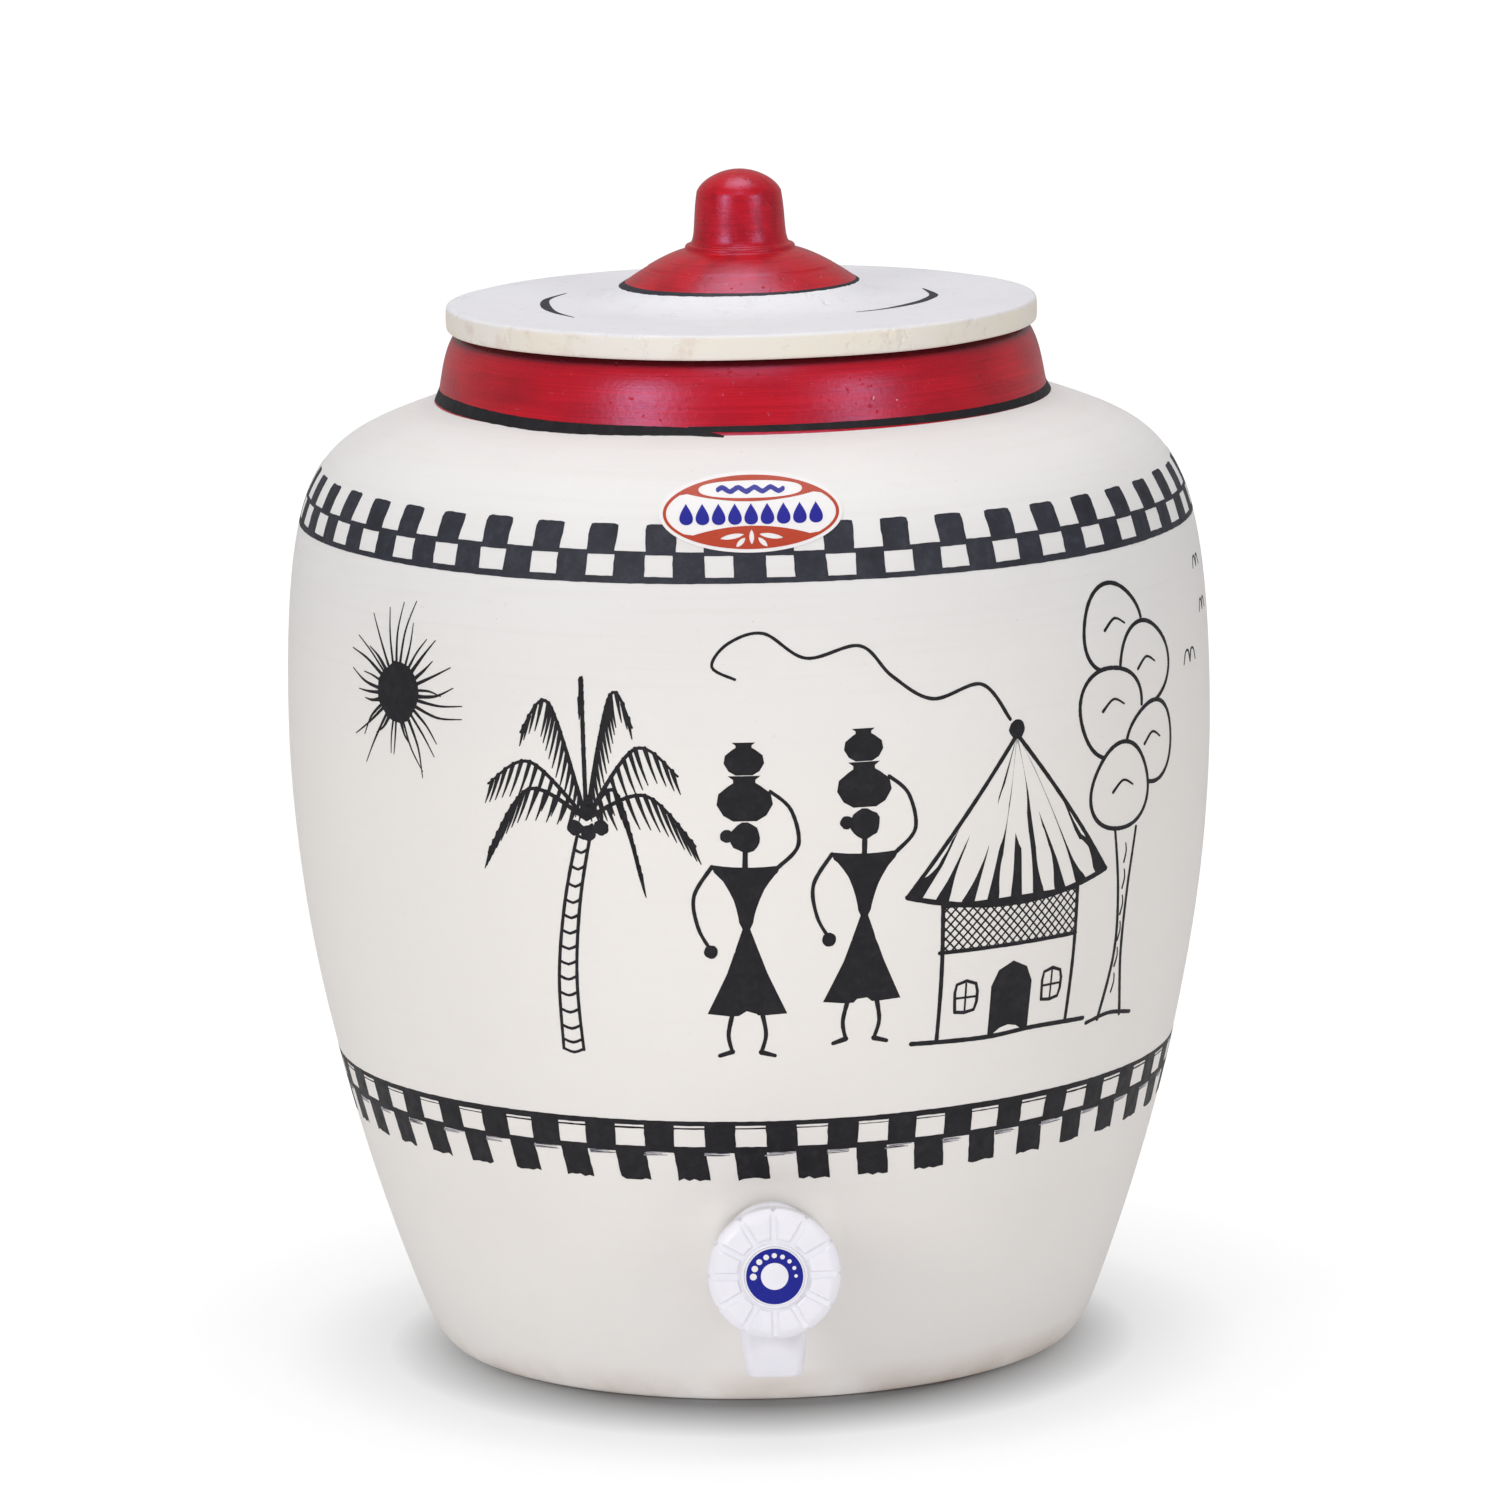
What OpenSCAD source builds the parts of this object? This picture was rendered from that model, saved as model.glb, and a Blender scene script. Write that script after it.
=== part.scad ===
// Clay drinking-water pot with a lift-off lid and a screw-down plastic tap.
// Origin at the centre of the foot, +Z up, the tap faces -Y. Millimetres.

/* [Pot] */
// Widest diameter of the pot
belly_d = 300; // [285:1:320]
// Height of the widest circle above the foot
belly_z = 205; // [195:1:215]
// Diameter of the flat foot the pot stands on
foot_d = 201; // [190:1:210]
// Height of the rounded edge round the foot
foot_edge_h = 10; // [7:0.5:13]
// How far the rounded edge swells past the foot
foot_edge_w = 9; // [6:0.5:11]
// Thickness of the clay wall
wall_t = 9; // [8:0.25:10.5]
// Thickness of the pot's floor
floor_t = 11; // [9:0.5:14]

/* [Neck] */
// Outer diameter of the neck where it leaves the shoulder
neck_d = 200; // [194:1:204]
// Height at which the shoulder meets the neck
neck_z = 309; // [305:0.5:316]
// Height of the neck, from the shoulder to the lip
neck_h = 23; // [18:0.5:28]
// How far the neck draws in towards the lip, on the radius
neck_draw = 3.5; // [3:0.25:6]
// Radius of the rounded edge outside the lip
lip_round = 5; // [3:0.25:6]
// Thickness of the clay at the lip
lip_wall_t = 10.5; // [8.5:0.25:12]

/* [Lid] */
// How far the lid's disc reaches past the flat top of the lip, on the radius
lid_overhang = 4.25; // [2.5:0.25:7]
// Thickness of the lid's disc
lid_t = 8; // [6:0.5:10]
// Diameter of the dome where it rises from the hollow curve round its foot
dome_d = 80; // [74:1:88]
// Height of the dome above the disc
dome_h = 17; // [14:0.5:20]
// Width of the hollow curve round the dome's foot
dome_foot_w = 18; // [10:1:22]
// Height of the hollow curve round the dome's foot
dome_foot_h = 4.7; // [2:0.1:6]
// Thickness of clay over the hollow of the dome
dome_wall_t = 9; // [7:0.5:11]
// Diameter of the grip at its foot
grip_d = 31; // [28:0.5:34]
// Diameter of the grip under its crown
grip_top_d = 27.2; // [24:0.2:28]
// Height of the grip above the dome
grip_h = 25; // [22:0.5:30]
// Depth of the ring under the lid that locates it in the mouth
ring_h = 8; // [5:0.5:10]
// Thickness of that ring
ring_t = 8; // [6:0.5:10]
// Clearance between the ring and the mouth, on the radius
ring_gap = 1; // [0.6:0.1:1.6]

/* [Label] */
// Width of the oval label on the shoulder
label_w = 58; // [50:1:66]
// Height of the oval label, measured level
label_h = 21.5; // [18:0.5:24]
// How far the label's middle lies below the foot of the neck
label_drop = 19.5; // [17.5:0.5:25]
// How far the label sits round the pot from the tap, in degrees
label_turn = -0.7; // [-5:0.1:5]
// Thickness of the label
label_t = 0.4; // [0.3:0.05:0.6]

/* [Tap seat in the clay] */
// Height of the tap's axis above the foot
tap_z = 57; // [54:0.5:64]
// How far the flat pad stands proud of the wall, on the tap's axis
pad_proud = 4; // [3:0.25:5]
// Thickness of clay between the two flat faces at the tap
pad_t = 14.5; // [13:0.25:16]
// Diameter of the hole through the clay
clay_hole_d = 22.5; // [22:0.25:24]
// Diameter of the flat outer face of the pad
pad_d = 34; // [33:0.5:37]
// Diameter of the flat inner face, where the nut turns
pad_inner_d = 39; // [37:0.5:42]

/* [Tap body] */
// Diameter of the tap's threaded shank
shank_d = 20; // [19:0.25:21]
// Length of shank that shows inside the pot past the nut
shank_end_l = 4; // [2:0.5:7]
// Diameter of the water way through the shank
waterway_d = 12; // [10:0.25:13]
// Diameter of the flange outside the pot
flange_d = 29; // [28:0.5:33]
// Thickness of the flange
flange_t = 3; // [2:0.25:4]
// Outer diameter of the barrel
barrel_d = 23; // [22.5:0.25:24]
// Length of the barrel in front of the flange
barrel_l = 22; // [21:0.25:24]
// Diameter of the valve chamber
chamber_d = 17; // [16.6:0.1:17.6]
// Diameter of the hole in the valve seat
seat_d = 10; // [9:0.25:11]
// Height of the raised valve seat
seat_h = 1; // [0.6:0.1:1.6]
// Distance from the flange's front to the top of the valve seat
seat_offset = 4.5; // [3.5:0.25:5.5]

/* [Spout] */
// Distance from the tap's axis down to the spout's mouth
spout_drop = 36.5; // [32:0.5:40]
// Width of the spout where it leaves the barrel
spout_top_w = 25; // [22:0.25:26]
// Depth of the spout where it leaves the barrel, front to back
spout_top_l = 18; // [17:0.25:19]
// Width of the spout at its mouth
spout_mouth_w = 18; // [16:0.25:18.5]
// Depth of the spout at its mouth, front to back
spout_mouth_l = 15; // [14.5:0.25:17]
// Radius of the spout's upright edges
spout_edge_r = 3; // [1.5:0.25:4]
// Diameter of the spout's bore
spout_bore_d = 11; // [9:0.25:11.5]
// Length of the spout's straight bore
spout_bore_l = 24; // [20:0.5:24.5]
// Diameter of the pocket that joins the spout's bore to the valve chamber
spout_pocket_d = 13; // [12:0.25:13.5]

/* [Seals and nut] */
// Thickness of the rubber gasket outside the pot
outer_gasket_t = 2.5; // [1.5:0.25:3.5]
// Thickness of the rubber gasket inside the pot
inner_gasket_t = 2.5; // [1.5:0.25:3.5]
// Thickness of the plastic washer between the inner gasket and the nut
back_washer_t = 1.5; // [1:0.25:2.5]
// Diameter of both gaskets and of the plastic washer
gasket_d = 27.5; // [26.5:0.5:32.5]
// Thickness of the lock nut
nut_t = 8; // [6:0.5:11]
// Width of the lock nut across its flats
nut_af = 27; // [25:0.5:28]
// Diameter of the lock nut's collar
nut_collar_d = 32; // [30:0.5:34]

/* [Valve] */
// Diameter of the rubber valve washer
valve_washer_d = 14.4; // [13:0.1:14.8]
// Thickness of the rubber valve washer
valve_washer_t = 3; // [2.5:0.1:3.5]
// Thickness of the jumper's disc
jumper_t = 2.5; // [2:0.1:3]
// Diameter of the jumper's stem
jumper_stem_d = 4.8; // [4:0.1:5.2]
// Length of the jumper's stem
jumper_stem_l = 4.8; // [4:0.1:6]
// Diameter of the spindle's screw
screw_d = 10; // [9.4:0.1:10.6]
// Diameter of the spindle's stem
stem_d = 6.8; // [6.6:0.1:7.2]
// Width across the square that drives the spindle
square_w = 4.7; // [4.4:0.05:4.8]
// How far the valve opens
valve_lift = 3.75; // [3:0.05:3.8]

/* [Bonnet] */
// Width of the bonnet across its flats
bonnet_af = 22; // [21:0.25:24]
// Thickness of the bonnet's hexagon
bonnet_hex_t = 2.5; // [2:0.1:3]
// Length of the bonnet's nose in front of its hexagon
nose_l = 1.8; // [1.4:0.1:2.2]
// Diameter of the bonnet's nose
nose_d = 14; // [13:0.1:15]
// Length of the bonnet's skirt inside the barrel
skirt_l = 6; // [5:0.1:6.4]
// Thickness of the seal between the bonnet and the barrel
bonnet_seal_t = 1; // [0.8:0.1:1.4]
// Thickness of the rubber ring round the stem
gland_ring_t = 1.9; // [1.7:0.05:2]

/* [Knob] */
// Diameter of the knob
knob_d = 41.5; // [40:0.5:46]
// Thickness of the knob's rim, front to back
knob_t = 10.5; // [9.5:0.25:12.5]
// Thickness of the knob's outer wall
rim_wall_t = 2.4; // [2:0.1:3]
// Thickness of the knob's front wall
front_wall_t = 2.5; // [2.2:0.1:3]
// Number of petals on the knob's face
petals = 12; // [8:1:14]
// Width of the channel between two petals
channel_w = 2.3; // [1.6:0.1:2.8]
// Depth of the channels on the knob's face
channel_h = 0.9; // [0.6:0.05:1.2]
// Width of the bevel round the knob's face
bevel_w = 3; // [2:0.1:3.6]
// Depth of the notch at the end of each channel
notch_h = 0.9; // [0.5:0.05:1.2]
// Number of ribs inside the knob
knob_ribs = 6; // [4:1:8]
// Diameter of the boss that holds the spindle's square
boss_d = 13.6; // [13:0.2:15]
// Diameter of the raised hub round the cap
hub_d = 20.4; // [20:0.2:22]
// How far the hub stands proud of the petals
hub_proud = 0.5; // [0.2:0.05:0.8]

/* [Cap and screw] */
// Diameter of the cap in the middle of the knob
cap_d = 18.6; // [18:0.1:19]
// Thickness of the cap
cap_t = 1.4; // [1.2:0.1:1.6]
// Outer diameter of the coloured index ring on the cap
index_d = 17.7; // [16:0.1:17.8]
// Inner diameter of the coloured index ring
index_hole_d = 8.5; // [7:0.1:10]
// Thickness of the coloured index ring
index_t = 0.4; // [0.3:0.05:0.6]
// Diameter of the screw that holds the knob
knob_screw_d = 2.9; // [2.6:0.1:3]
// Diameter of that screw's head
screw_head_d = 6.2; // [5.6:0.1:6.4]
// Diameter of the screw that holds the valve washer
washer_screw_d = 3; // [2.5:0.1:3.2]

/* [Clearances] */
// Running clearance of the turning and sliding fits, on the radius
run_gap = 0.05; // [0.03:0.01:0.08]
// Clearance of the parts that are only slipped together, on the radius
slip_gap = 0.1; // [0.06:0.01:0.15]
// Gap between faces that pass each other without touching
face_gap = 0.3; // [0.2:0.05:0.4]

/* [Hidden] */

$fn = 128;
eps = 0.01;

// Cubic curve through four points, as a list of n + 1 points.
function curve(a, b, c, d, n) =
    [for (i = [0:n]) let (t = i / n, u = 1 - t)
        u * u * u * a + 3 * u * u * t * b + 3 * u * t * t * c + t * t * t * d];

// The same outline moved a distance inwards, square to itself.
function inset(pts, dist) =
    [for (i = [1:len(pts) - 2])
        let (run = pts[i + 1] - pts[i - 1])
        pts[i] + dist * [-run[1], run[0]] / norm(run)];

function without_first(pts) = [for (i = [1:len(pts) - 1]) pts[i]];

// Outline of the pot, as [radius, height] from the foot to the neck.
side_steps = 11;
edge_steps = 5;
foot_slope = 0.4;
foot_lead = 23;
belly_lead_low = 86;
belly_lead_high = 95;
shoulder_lead = 35;
shoulder_slope = 0.4;
foot_r = foot_d / 2;
belly_r = belly_d / 2;
neck_r = neck_d / 2;
lip_r = neck_r - neck_draw;
mouth_r = lip_r - lip_wall_t;
foot_top = [foot_r + foot_edge_w, foot_edge_h];
belly_pt = [belly_r, belly_z];
neck_pt = [neck_r, neck_z];
foot_pts = curve([foot_r, 0], [foot_r + foot_edge_w * 0.4, 0],
    foot_top - foot_edge_h * 0.5 * [foot_slope, 1], foot_top, edge_steps);
lower_pts = curve(foot_top, foot_top + foot_lead * [foot_slope, 1],
    belly_pt - [0, belly_lead_low], belly_pt, side_steps);
upper_pts = curve(belly_pt, belly_pt + [0, belly_lead_high],
    neck_pt + shoulder_lead * [1, -shoulder_slope], neck_pt, side_steps + edge_steps);
side_pts = concat(lower_pts, without_first(upper_pts));
lip_z = neck_z + neck_h;
lip_top_r = lip_r - lip_round;
neck_foot_w = 1.4;
neck_foot_h = 2.4;
neck_pts = curve([neck_r - neck_foot_w, neck_z + neck_foot_h],
    [neck_r - 2 * neck_foot_w, neck_z + neck_h * 0.4],
    [lip_r, lip_z - lip_round * 0.9], [lip_top_r, lip_z], edge_steps + 1);

label_z = neck_z - label_drop;

// Radius of the outside of the wall at a height.
wall_table = [for (p = side_pts) [p[1], p[0]]];
function wall_r(z) = lookup(z, wall_table);

// Inside of the pot: the side moved in by the wall, down to the floor.
cavity_corner_r = 14;
inner_side = [for (p = inset(side_pts, wall_t))
    if (p[1] > floor_t + cavity_corner_r && p[0] > mouth_r + 4) p];
inner_first = inner_side[0];
inner_corner = curve([inner_first[0] - cavity_corner_r, floor_t], [inner_first[0] - 4, floor_t],
    inner_first - [2, cavity_corner_r * 0.6], inner_first, edge_steps);
inner_last = inner_side[len(inner_side) - 1];

// Stations of the tap along its own axis, from the pad's outer face. Outwards is positive.
tap_face = wall_r(tap_z) + pad_proud;
flange_back = outer_gasket_t;
flange_front = flange_back + flange_t;
seat_top = flange_front + seat_offset;
chamber_back = seat_top - seat_h;
barrel_front = flange_front + barrel_l;
inner_gasket_back = -pad_t - inner_gasket_t;
back_washer_back = inner_gasket_back - back_washer_t;
nut_back = back_washer_back - nut_t;
shank_back = nut_back - shank_end_l;
spout_mid = flange_front + barrel_l / 2 + 1;
spout_mouth_z = tap_z - spout_drop;
washer_front = seat_top + valve_washer_t;
jumper_front = washer_front + jumper_t;
hex_back = barrel_front + bonnet_seal_t;
hex_front = hex_back + bonnet_hex_t;
nose_front = hex_front + nose_l;
nose_lip_t = 1.9;
gland_mid = nose_front - nose_lip_t - gland_ring_t / 2 - slip_gap;
bore_step = gland_mid - gland_ring_t / 2 - slip_gap;
skirt_back = barrel_front - skirt_l;
spindle_back = jumper_front + face_gap;
screw_front = bore_step - valve_lift - face_gap;
boss_back = nose_front + face_gap;
square_back = boss_back;
socket_l = 4.9;
square_front = square_back + socket_l - slip_gap;
web_back = boss_back + socket_l;
web_t = 1.5;
web_front = web_back + web_t;
screw_head_t = 1.5;
cap_back = web_front + screw_head_t + slip_gap;
cap_front = cap_back + cap_t;
knob_front = cap_front - hub_proud;
knob_back = knob_front - knob_t;
well_d = screw_head_d + 3.8;
hub_ditch_w = 1.3;

// Places children with their +Z along the tap's axis, out from the pad's face.
module at_tap() {
    translate([0, -tap_face, tap_z]) rotate([90, 0, 0]) children();
}

// A ring or disc along the tap's axis, between two stations.
module tap_ring(from, to, d_out, d_in = 0) {
    rotate_extrude() polygon([[d_in / 2, from], [d_out / 2, from], [d_out / 2, to], [d_in / 2, to]]);
}

module pot_outside() {
    rotate_extrude() polygon(concat([[0, 0]], foot_pts, without_first(side_pts), neck_pts,
        [[0, lip_z]]));
}

module pot_inside() {
    lip_inner_round = 1.5;
    rotate_extrude() polygon(concat([[0, floor_t]], inner_corner, without_first(inner_side),
        [[mouth_r + 1, inner_last[1] + 3], [mouth_r, inner_last[1] + 6],
            [mouth_r, lip_z - lip_inner_round], [mouth_r + lip_inner_round, lip_z],
            [mouth_r + lip_inner_round, lip_z + 1], [0, lip_z + 1]]));
}

// Clay thickened round the tap hole, with a flat face inside and outside.
module tap_pad() {
    pad_waist_d = pad_inner_d + 3;
    rotate_extrude() polygon([[0, -pad_t], [pad_inner_d / 2, -pad_t], [pad_waist_d / 2, -pad_t * 0.6],
        [pad_d / 2, 0], [0, 0]]);
}

module pot() {
    recess_l = 20;
    color([0.92, 0.89, 0.84]) difference() {
        union() {
            difference() {
                pot_outside();
                pot_inside();
            }
            at_tap() tap_pad();
        }
        at_tap() tap_ring(0, recess_l, pad_d);
        at_tap() tap_ring(-pad_t - recess_l, -pad_t, pad_inner_d);
        at_tap() tap_ring(-pad_t - 1, 1, clay_hole_d);
    }
}

module lid() {
    lid_r = lip_top_r + lid_overhang;
    dome_r = dome_d / 2;
    foot_r = dome_r + dome_foot_w;
    slope_z = lid_t + dome_foot_h;
    grip_r = grip_d / 2;
    grip_top_r = grip_top_d / 2;
    edge_r = 2.5;
    ring_r = mouth_r - ring_gap;
    dome_top = lid_t + dome_h;
    crown_h = 7;
    grip_top_z = dome_top + grip_h - crown_h;
    dome_foot = curve([foot_r, lid_t], [foot_r - dome_foot_w * 0.45, lid_t],
        [dome_r + dome_foot_w * 0.18, slope_z - dome_foot_h * 0.73], [dome_r, slope_z], edge_steps);
    dome_slope = curve([dome_r, slope_z], [dome_r * 0.86, slope_z + (dome_h - dome_foot_h) * 0.29],
        [dome_r * 0.65, lid_t + dome_h * 0.84], [grip_r + 2.5, dome_top - 0.6], edge_steps);
    grip_side = curve([grip_r + 0.6, dome_top + 0.6], [grip_r - 0.8, dome_top + 3],
        [grip_top_r + 1.4, grip_top_z - 8], [grip_top_r, grip_top_z], edge_steps);
    crown = curve([grip_top_r, grip_top_z], [grip_top_r - 0.6, grip_top_z + crown_h * 0.6],
        [grip_top_r * 0.5, dome_top + grip_h], [0, dome_top + grip_h], edge_steps + 2);
    hollow_r = dome_r - dome_wall_t;
    hollow_top = dome_top - dome_wall_t;
    hollow = curve([hollow_r, 0], [hollow_r * 0.8, hollow_top * 0.5],
        [hollow_r * 0.5, hollow_top], [0, hollow_top], edge_steps);
    edge = [[lid_r - edge_r, 0], [lid_r - edge_r * 0.3, edge_r * 0.3], [lid_r, edge_r],
        [lid_r, lid_t - edge_r], [lid_r - edge_r * 0.3, lid_t - edge_r * 0.3],
        [lid_r - edge_r, lid_t]];
    ring = [[ring_r - ring_t, 0], [ring_r - ring_t + 1.5, -ring_h], [ring_r - 2, -ring_h],
        [ring_r, 2 - ring_h], [ring_r, 0]];
    reversed_hollow = [for (i = [len(hollow) - 1:-1:0]) hollow[i]];
    color([0.92, 0.89, 0.84]) translate([0, 0, lip_z]) rotate_extrude()
        polygon(concat(reversed_hollow, ring, edge, dome_foot, without_first(dome_slope),
            grip_side, without_first(crown)));
}

// Oval sticker that follows the curve of the shoulder.
module front_label() {
    sides = 64;
    skin = function (gap) [for (p = side_pts) if (p[1] > belly_z) p + [gap, gap * 0.7]];
    glue = 0.05;
    inner = skin(glue);
    outer = skin(glue + label_t);
    back_out = [for (i = [len(inner) - 1:-1:0]) inner[i]];
    color([0.75, 0.3, 0.2]) intersection() {
        rotate_extrude() polygon(concat(outer, back_out));
        translate([0, 0, label_z]) rotate([90, 0, label_turn]) linear_extrude(belly_d)
            polygon([for (i = [0:sides - 1])
                [label_w / 2 * cos(360 * i / sides), label_h / 2 * sin(360 * i / sides)]]);
    }
}

// A thin level slice of the spout, with rounded upright edges.
module spout_slice(z, w, l) {
    round_r = spout_edge_r;
    translate([0, -tap_face - spout_mid, z]) linear_extrude(eps)
        offset(r = round_r, $fn = 32) square([w - 2 * round_r, l - 2 * round_r], center = true);
}

module spout() {
    foot_round = 2;
    hull() {
        spout_slice(tap_z - barrel_d * 0.3, spout_top_w, spout_top_l);
        spout_slice(spout_mouth_z + foot_round, spout_mouth_w, spout_mouth_l);
        spout_slice(spout_mouth_z + foot_round * 0.3, spout_mouth_w - foot_round * 0.5,
            spout_mouth_l - foot_round * 0.3);
        spout_slice(spout_mouth_z, spout_mouth_w - foot_round * 1.2, spout_mouth_l - foot_round * 0.6);
    }
}

module tap_body() {
    flange_edge = 0.8;
    thread_lead = 1;
    color([0.95, 0.95, 0.97]) difference() {
        union() {
            at_tap() rotate_extrude() polygon([[0, shank_back], [shank_d / 2 - thread_lead, shank_back],
                [shank_d / 2, shank_back + thread_lead], [shank_d / 2, flange_back],
                [flange_d / 2, flange_back], [flange_d / 2, flange_front - flange_edge],
                [flange_d / 2 - flange_edge, flange_front], [barrel_d / 2, flange_front],
                [barrel_d / 2, barrel_front], [0, barrel_front]]);
            spout();
        }
        at_tap() tap_ring(chamber_back, barrel_front + 1, chamber_d, seat_d + 4);
        at_tap() tap_ring(seat_top, barrel_front + 1, chamber_d);
        at_tap() tap_ring(chamber_back - 1, seat_top + 1, seat_d);
        at_tap() tap_ring(shank_back - 1, chamber_back - 1, waterway_d);
        translate([0, -tap_face - spout_mid, spout_mouth_z - 1])
            cylinder(h = spout_drop + 1, d = spout_bore_d);
        translate([0, -tap_face - spout_mid, spout_mouth_z + spout_bore_l])
            cylinder(h = spout_drop - spout_bore_l, d = spout_pocket_d);
    }
}

module outer_gasket() {
    color([0.15, 0.15, 0.16]) at_tap() tap_ring(0, flange_back, gasket_d, shank_d + 2 * slip_gap);
}

module inner_gasket() {
    color([0.15, 0.15, 0.16]) at_tap()
        tap_ring(inner_gasket_back, -pad_t, gasket_d, shank_d + 2 * slip_gap);
}

module back_washer() {
    color([0.9, 0.9, 0.92]) at_tap()
        tap_ring(back_washer_back, inner_gasket_back, gasket_d, shank_d + 2 * slip_gap);
}

module lock_nut() {
    collar_t = 2;
    color([0.93, 0.93, 0.95]) at_tap() difference() {
        union() {
            tap_ring(back_washer_back - collar_t, back_washer_back, nut_collar_d);
            translate([0, 0, nut_back]) cylinder(h = nut_t - collar_t + eps, d = nut_af / cos(30), $fn = 6);
        }
        tap_ring(nut_back - 1, back_washer_back + 1, shank_d + 2 * slip_gap);
    }
}

module bonnet() {
    color([0.9, 0.9, 0.93]) at_tap() difference() {
        union() {
            tap_ring(skirt_back, hex_back + eps, chamber_d - 2 * run_gap);
            translate([0, 0, hex_back]) cylinder(h = bonnet_hex_t, d = bonnet_af / cos(30), $fn = 6);
            tap_ring(hex_front - eps, nose_front, nose_d);
        }
        tap_ring(skirt_back - 1, bore_step, screw_d + 2 * run_gap);
        tap_ring(bore_step - eps, gland_mid + gland_ring_t / 2 + slip_gap, stem_d + 2 * gland_ring_t + 4 * slip_gap);
        tap_ring(gland_mid, nose_front + 1, stem_d + 2 * slip_gap);
    }
}

module bonnet_seal() {
    color([0.2, 0.2, 0.21]) at_tap()
        tap_ring(barrel_front, hex_back, barrel_d - 0.4, chamber_d + 2 * slip_gap);
}

module gland_ring() {
    color([0.2, 0.2, 0.21]) at_tap() translate([0, 0, gland_mid]) rotate_extrude()
        translate([stem_d / 2 + run_gap + gland_ring_t / 2, 0]) circle(d = gland_ring_t, $fn = 48);
}

module spindle() {
    nose_l = 1.7;
    pilot_l = 6;
    color([0.85, 0.85, 0.88]) at_tap() difference() {
        union() {
            tap_ring(spindle_back, spindle_back + nose_l + eps, screw_d - 1.6);
            tap_ring(spindle_back + nose_l, screw_front, screw_d);
            tap_ring(screw_front - eps, square_back, stem_d);
            translate([-square_w / 2, -square_w / 2, square_back - eps])
                cube([square_w, square_w, square_front - square_back + eps]);
        }
        tap_ring(spindle_back - 1, jumper_front + jumper_stem_l + face_gap, jumper_stem_d + 2 * run_gap);
        tap_ring(square_front - pilot_l, square_front + 1, knob_screw_d - 0.4);
    }
}

module jumper() {
    cup_depth = 1.5;
    cup_wall = 0.6;
    screw_hole_l = 2;
    color([0.85, 0.85, 0.88]) at_tap() difference() {
        union() {
            tap_ring(washer_front - cup_depth, jumper_front, valve_washer_d + 2 * cup_wall);
            tap_ring(jumper_front - eps, jumper_front + jumper_stem_l, jumper_stem_d);
        }
        tap_ring(washer_front - cup_depth - 1, washer_front, valve_washer_d + 2 * run_gap);
        tap_ring(washer_front - eps, washer_front + screw_hole_l, washer_screw_d + 2 * run_gap);
    }
}

module valve_washer() {
    color([0.12, 0.12, 0.13]) at_tap()
        tap_ring(seat_top, washer_front, valve_washer_d, washer_screw_d + 2 * run_gap);
}

module washer_screw() {
    head_t = 1.3;
    head_d = 2 * washer_screw_d;
    thread_l = 1.8;
    slot_w = 0.8;
    color([0.8, 0.65, 0.3]) at_tap() difference() {
        union() {
            tap_ring(seat_top - head_t, seat_top, head_d);
            tap_ring(seat_top - eps, washer_front + thread_l, washer_screw_d);
        }
        translate([-head_d, -slot_w / 2, seat_top - head_t - 1])
            cube([2 * head_d, slot_w, 1 + head_t / 2]);
    }
}

// Outside of the knob before its channels are cut: rim, bevelled face and hub.
module knob_blank() {
    knob_r = knob_d / 2;
    back_edge = 0.8;
    bevel_h = bevel_w * 0.75;
    hub_r = hub_d / 2;
    ditch_z = knob_front - channel_h;
    rotate_extrude() polygon([[0, knob_back], [knob_r - back_edge, knob_back],
        [knob_r, knob_back + back_edge], [knob_r, knob_front - bevel_h],
        [knob_r - bevel_w * 0.35, knob_front - bevel_h * 0.35], [knob_r - bevel_w, knob_front],
        [hub_r + hub_ditch_w + 0.5, knob_front], [hub_r + hub_ditch_w, ditch_z],
        [hub_r, ditch_z], [hub_r - 0.2, cap_front], [0, cap_front]]);
}

// Channels between the petals, each ending in a V notch at the rim.
module knob_channels() {
    knob_r = knob_d / 2;
    for (i = [0:petals - 1]) rotate([0, 0, 90 + 360 * i / petals]) {
        translate([hub_d / 2 + 0.2, -channel_w / 2, knob_front - channel_h])
            cube([knob_r, channel_w, channel_h + 1]);
        translate([0, 0, knob_back - 1]) linear_extrude(knob_t + 2)
            polygon([[knob_r - notch_h, 0], [knob_r + notch_h, -2 * notch_h],
                [knob_r + notch_h, 2 * notch_h]]);
    }
}

module knob_inside() {
    difference() {
        tap_ring(knob_back - 1, knob_front - front_wall_t, knob_d - 2 * rim_wall_t);
        tap_ring(boss_back, knob_front, boss_d);
    }
}

module knob_rib_set() {
    rib_w = 1.2;
    rib_l = knob_d / 2 - rim_wall_t - boss_d / 2 + 2;
    rib_back = boss_back + face_gap;
    for (i = [0:knob_ribs - 1]) rotate([0, 0, 360 * (i + 0.25) / knob_ribs])
        translate([boss_d / 2 - 1, -rib_w / 2, rib_back])
            cube([rib_l, rib_w, knob_front - front_wall_t - rib_back + eps]);
}

module knob() {
    socket_w = square_w + 2 * slip_gap;
    color([0.96, 0.96, 0.98]) at_tap() difference() {
        union() {
            difference() {
                knob_blank();
                knob_inside();
            }
            knob_rib_set();
        }
        knob_channels();
        translate([-socket_w / 2, -socket_w / 2, boss_back - 1]) cube([socket_w, socket_w, socket_l + 1]);
        tap_ring(web_back - 1, web_front + 1, knob_screw_d + 2 * slip_gap);
        tap_ring(web_front, cap_back + 1, well_d);
        tap_ring(cap_back, cap_front + 1, cap_d + 2 * slip_gap);
    }
}

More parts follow.
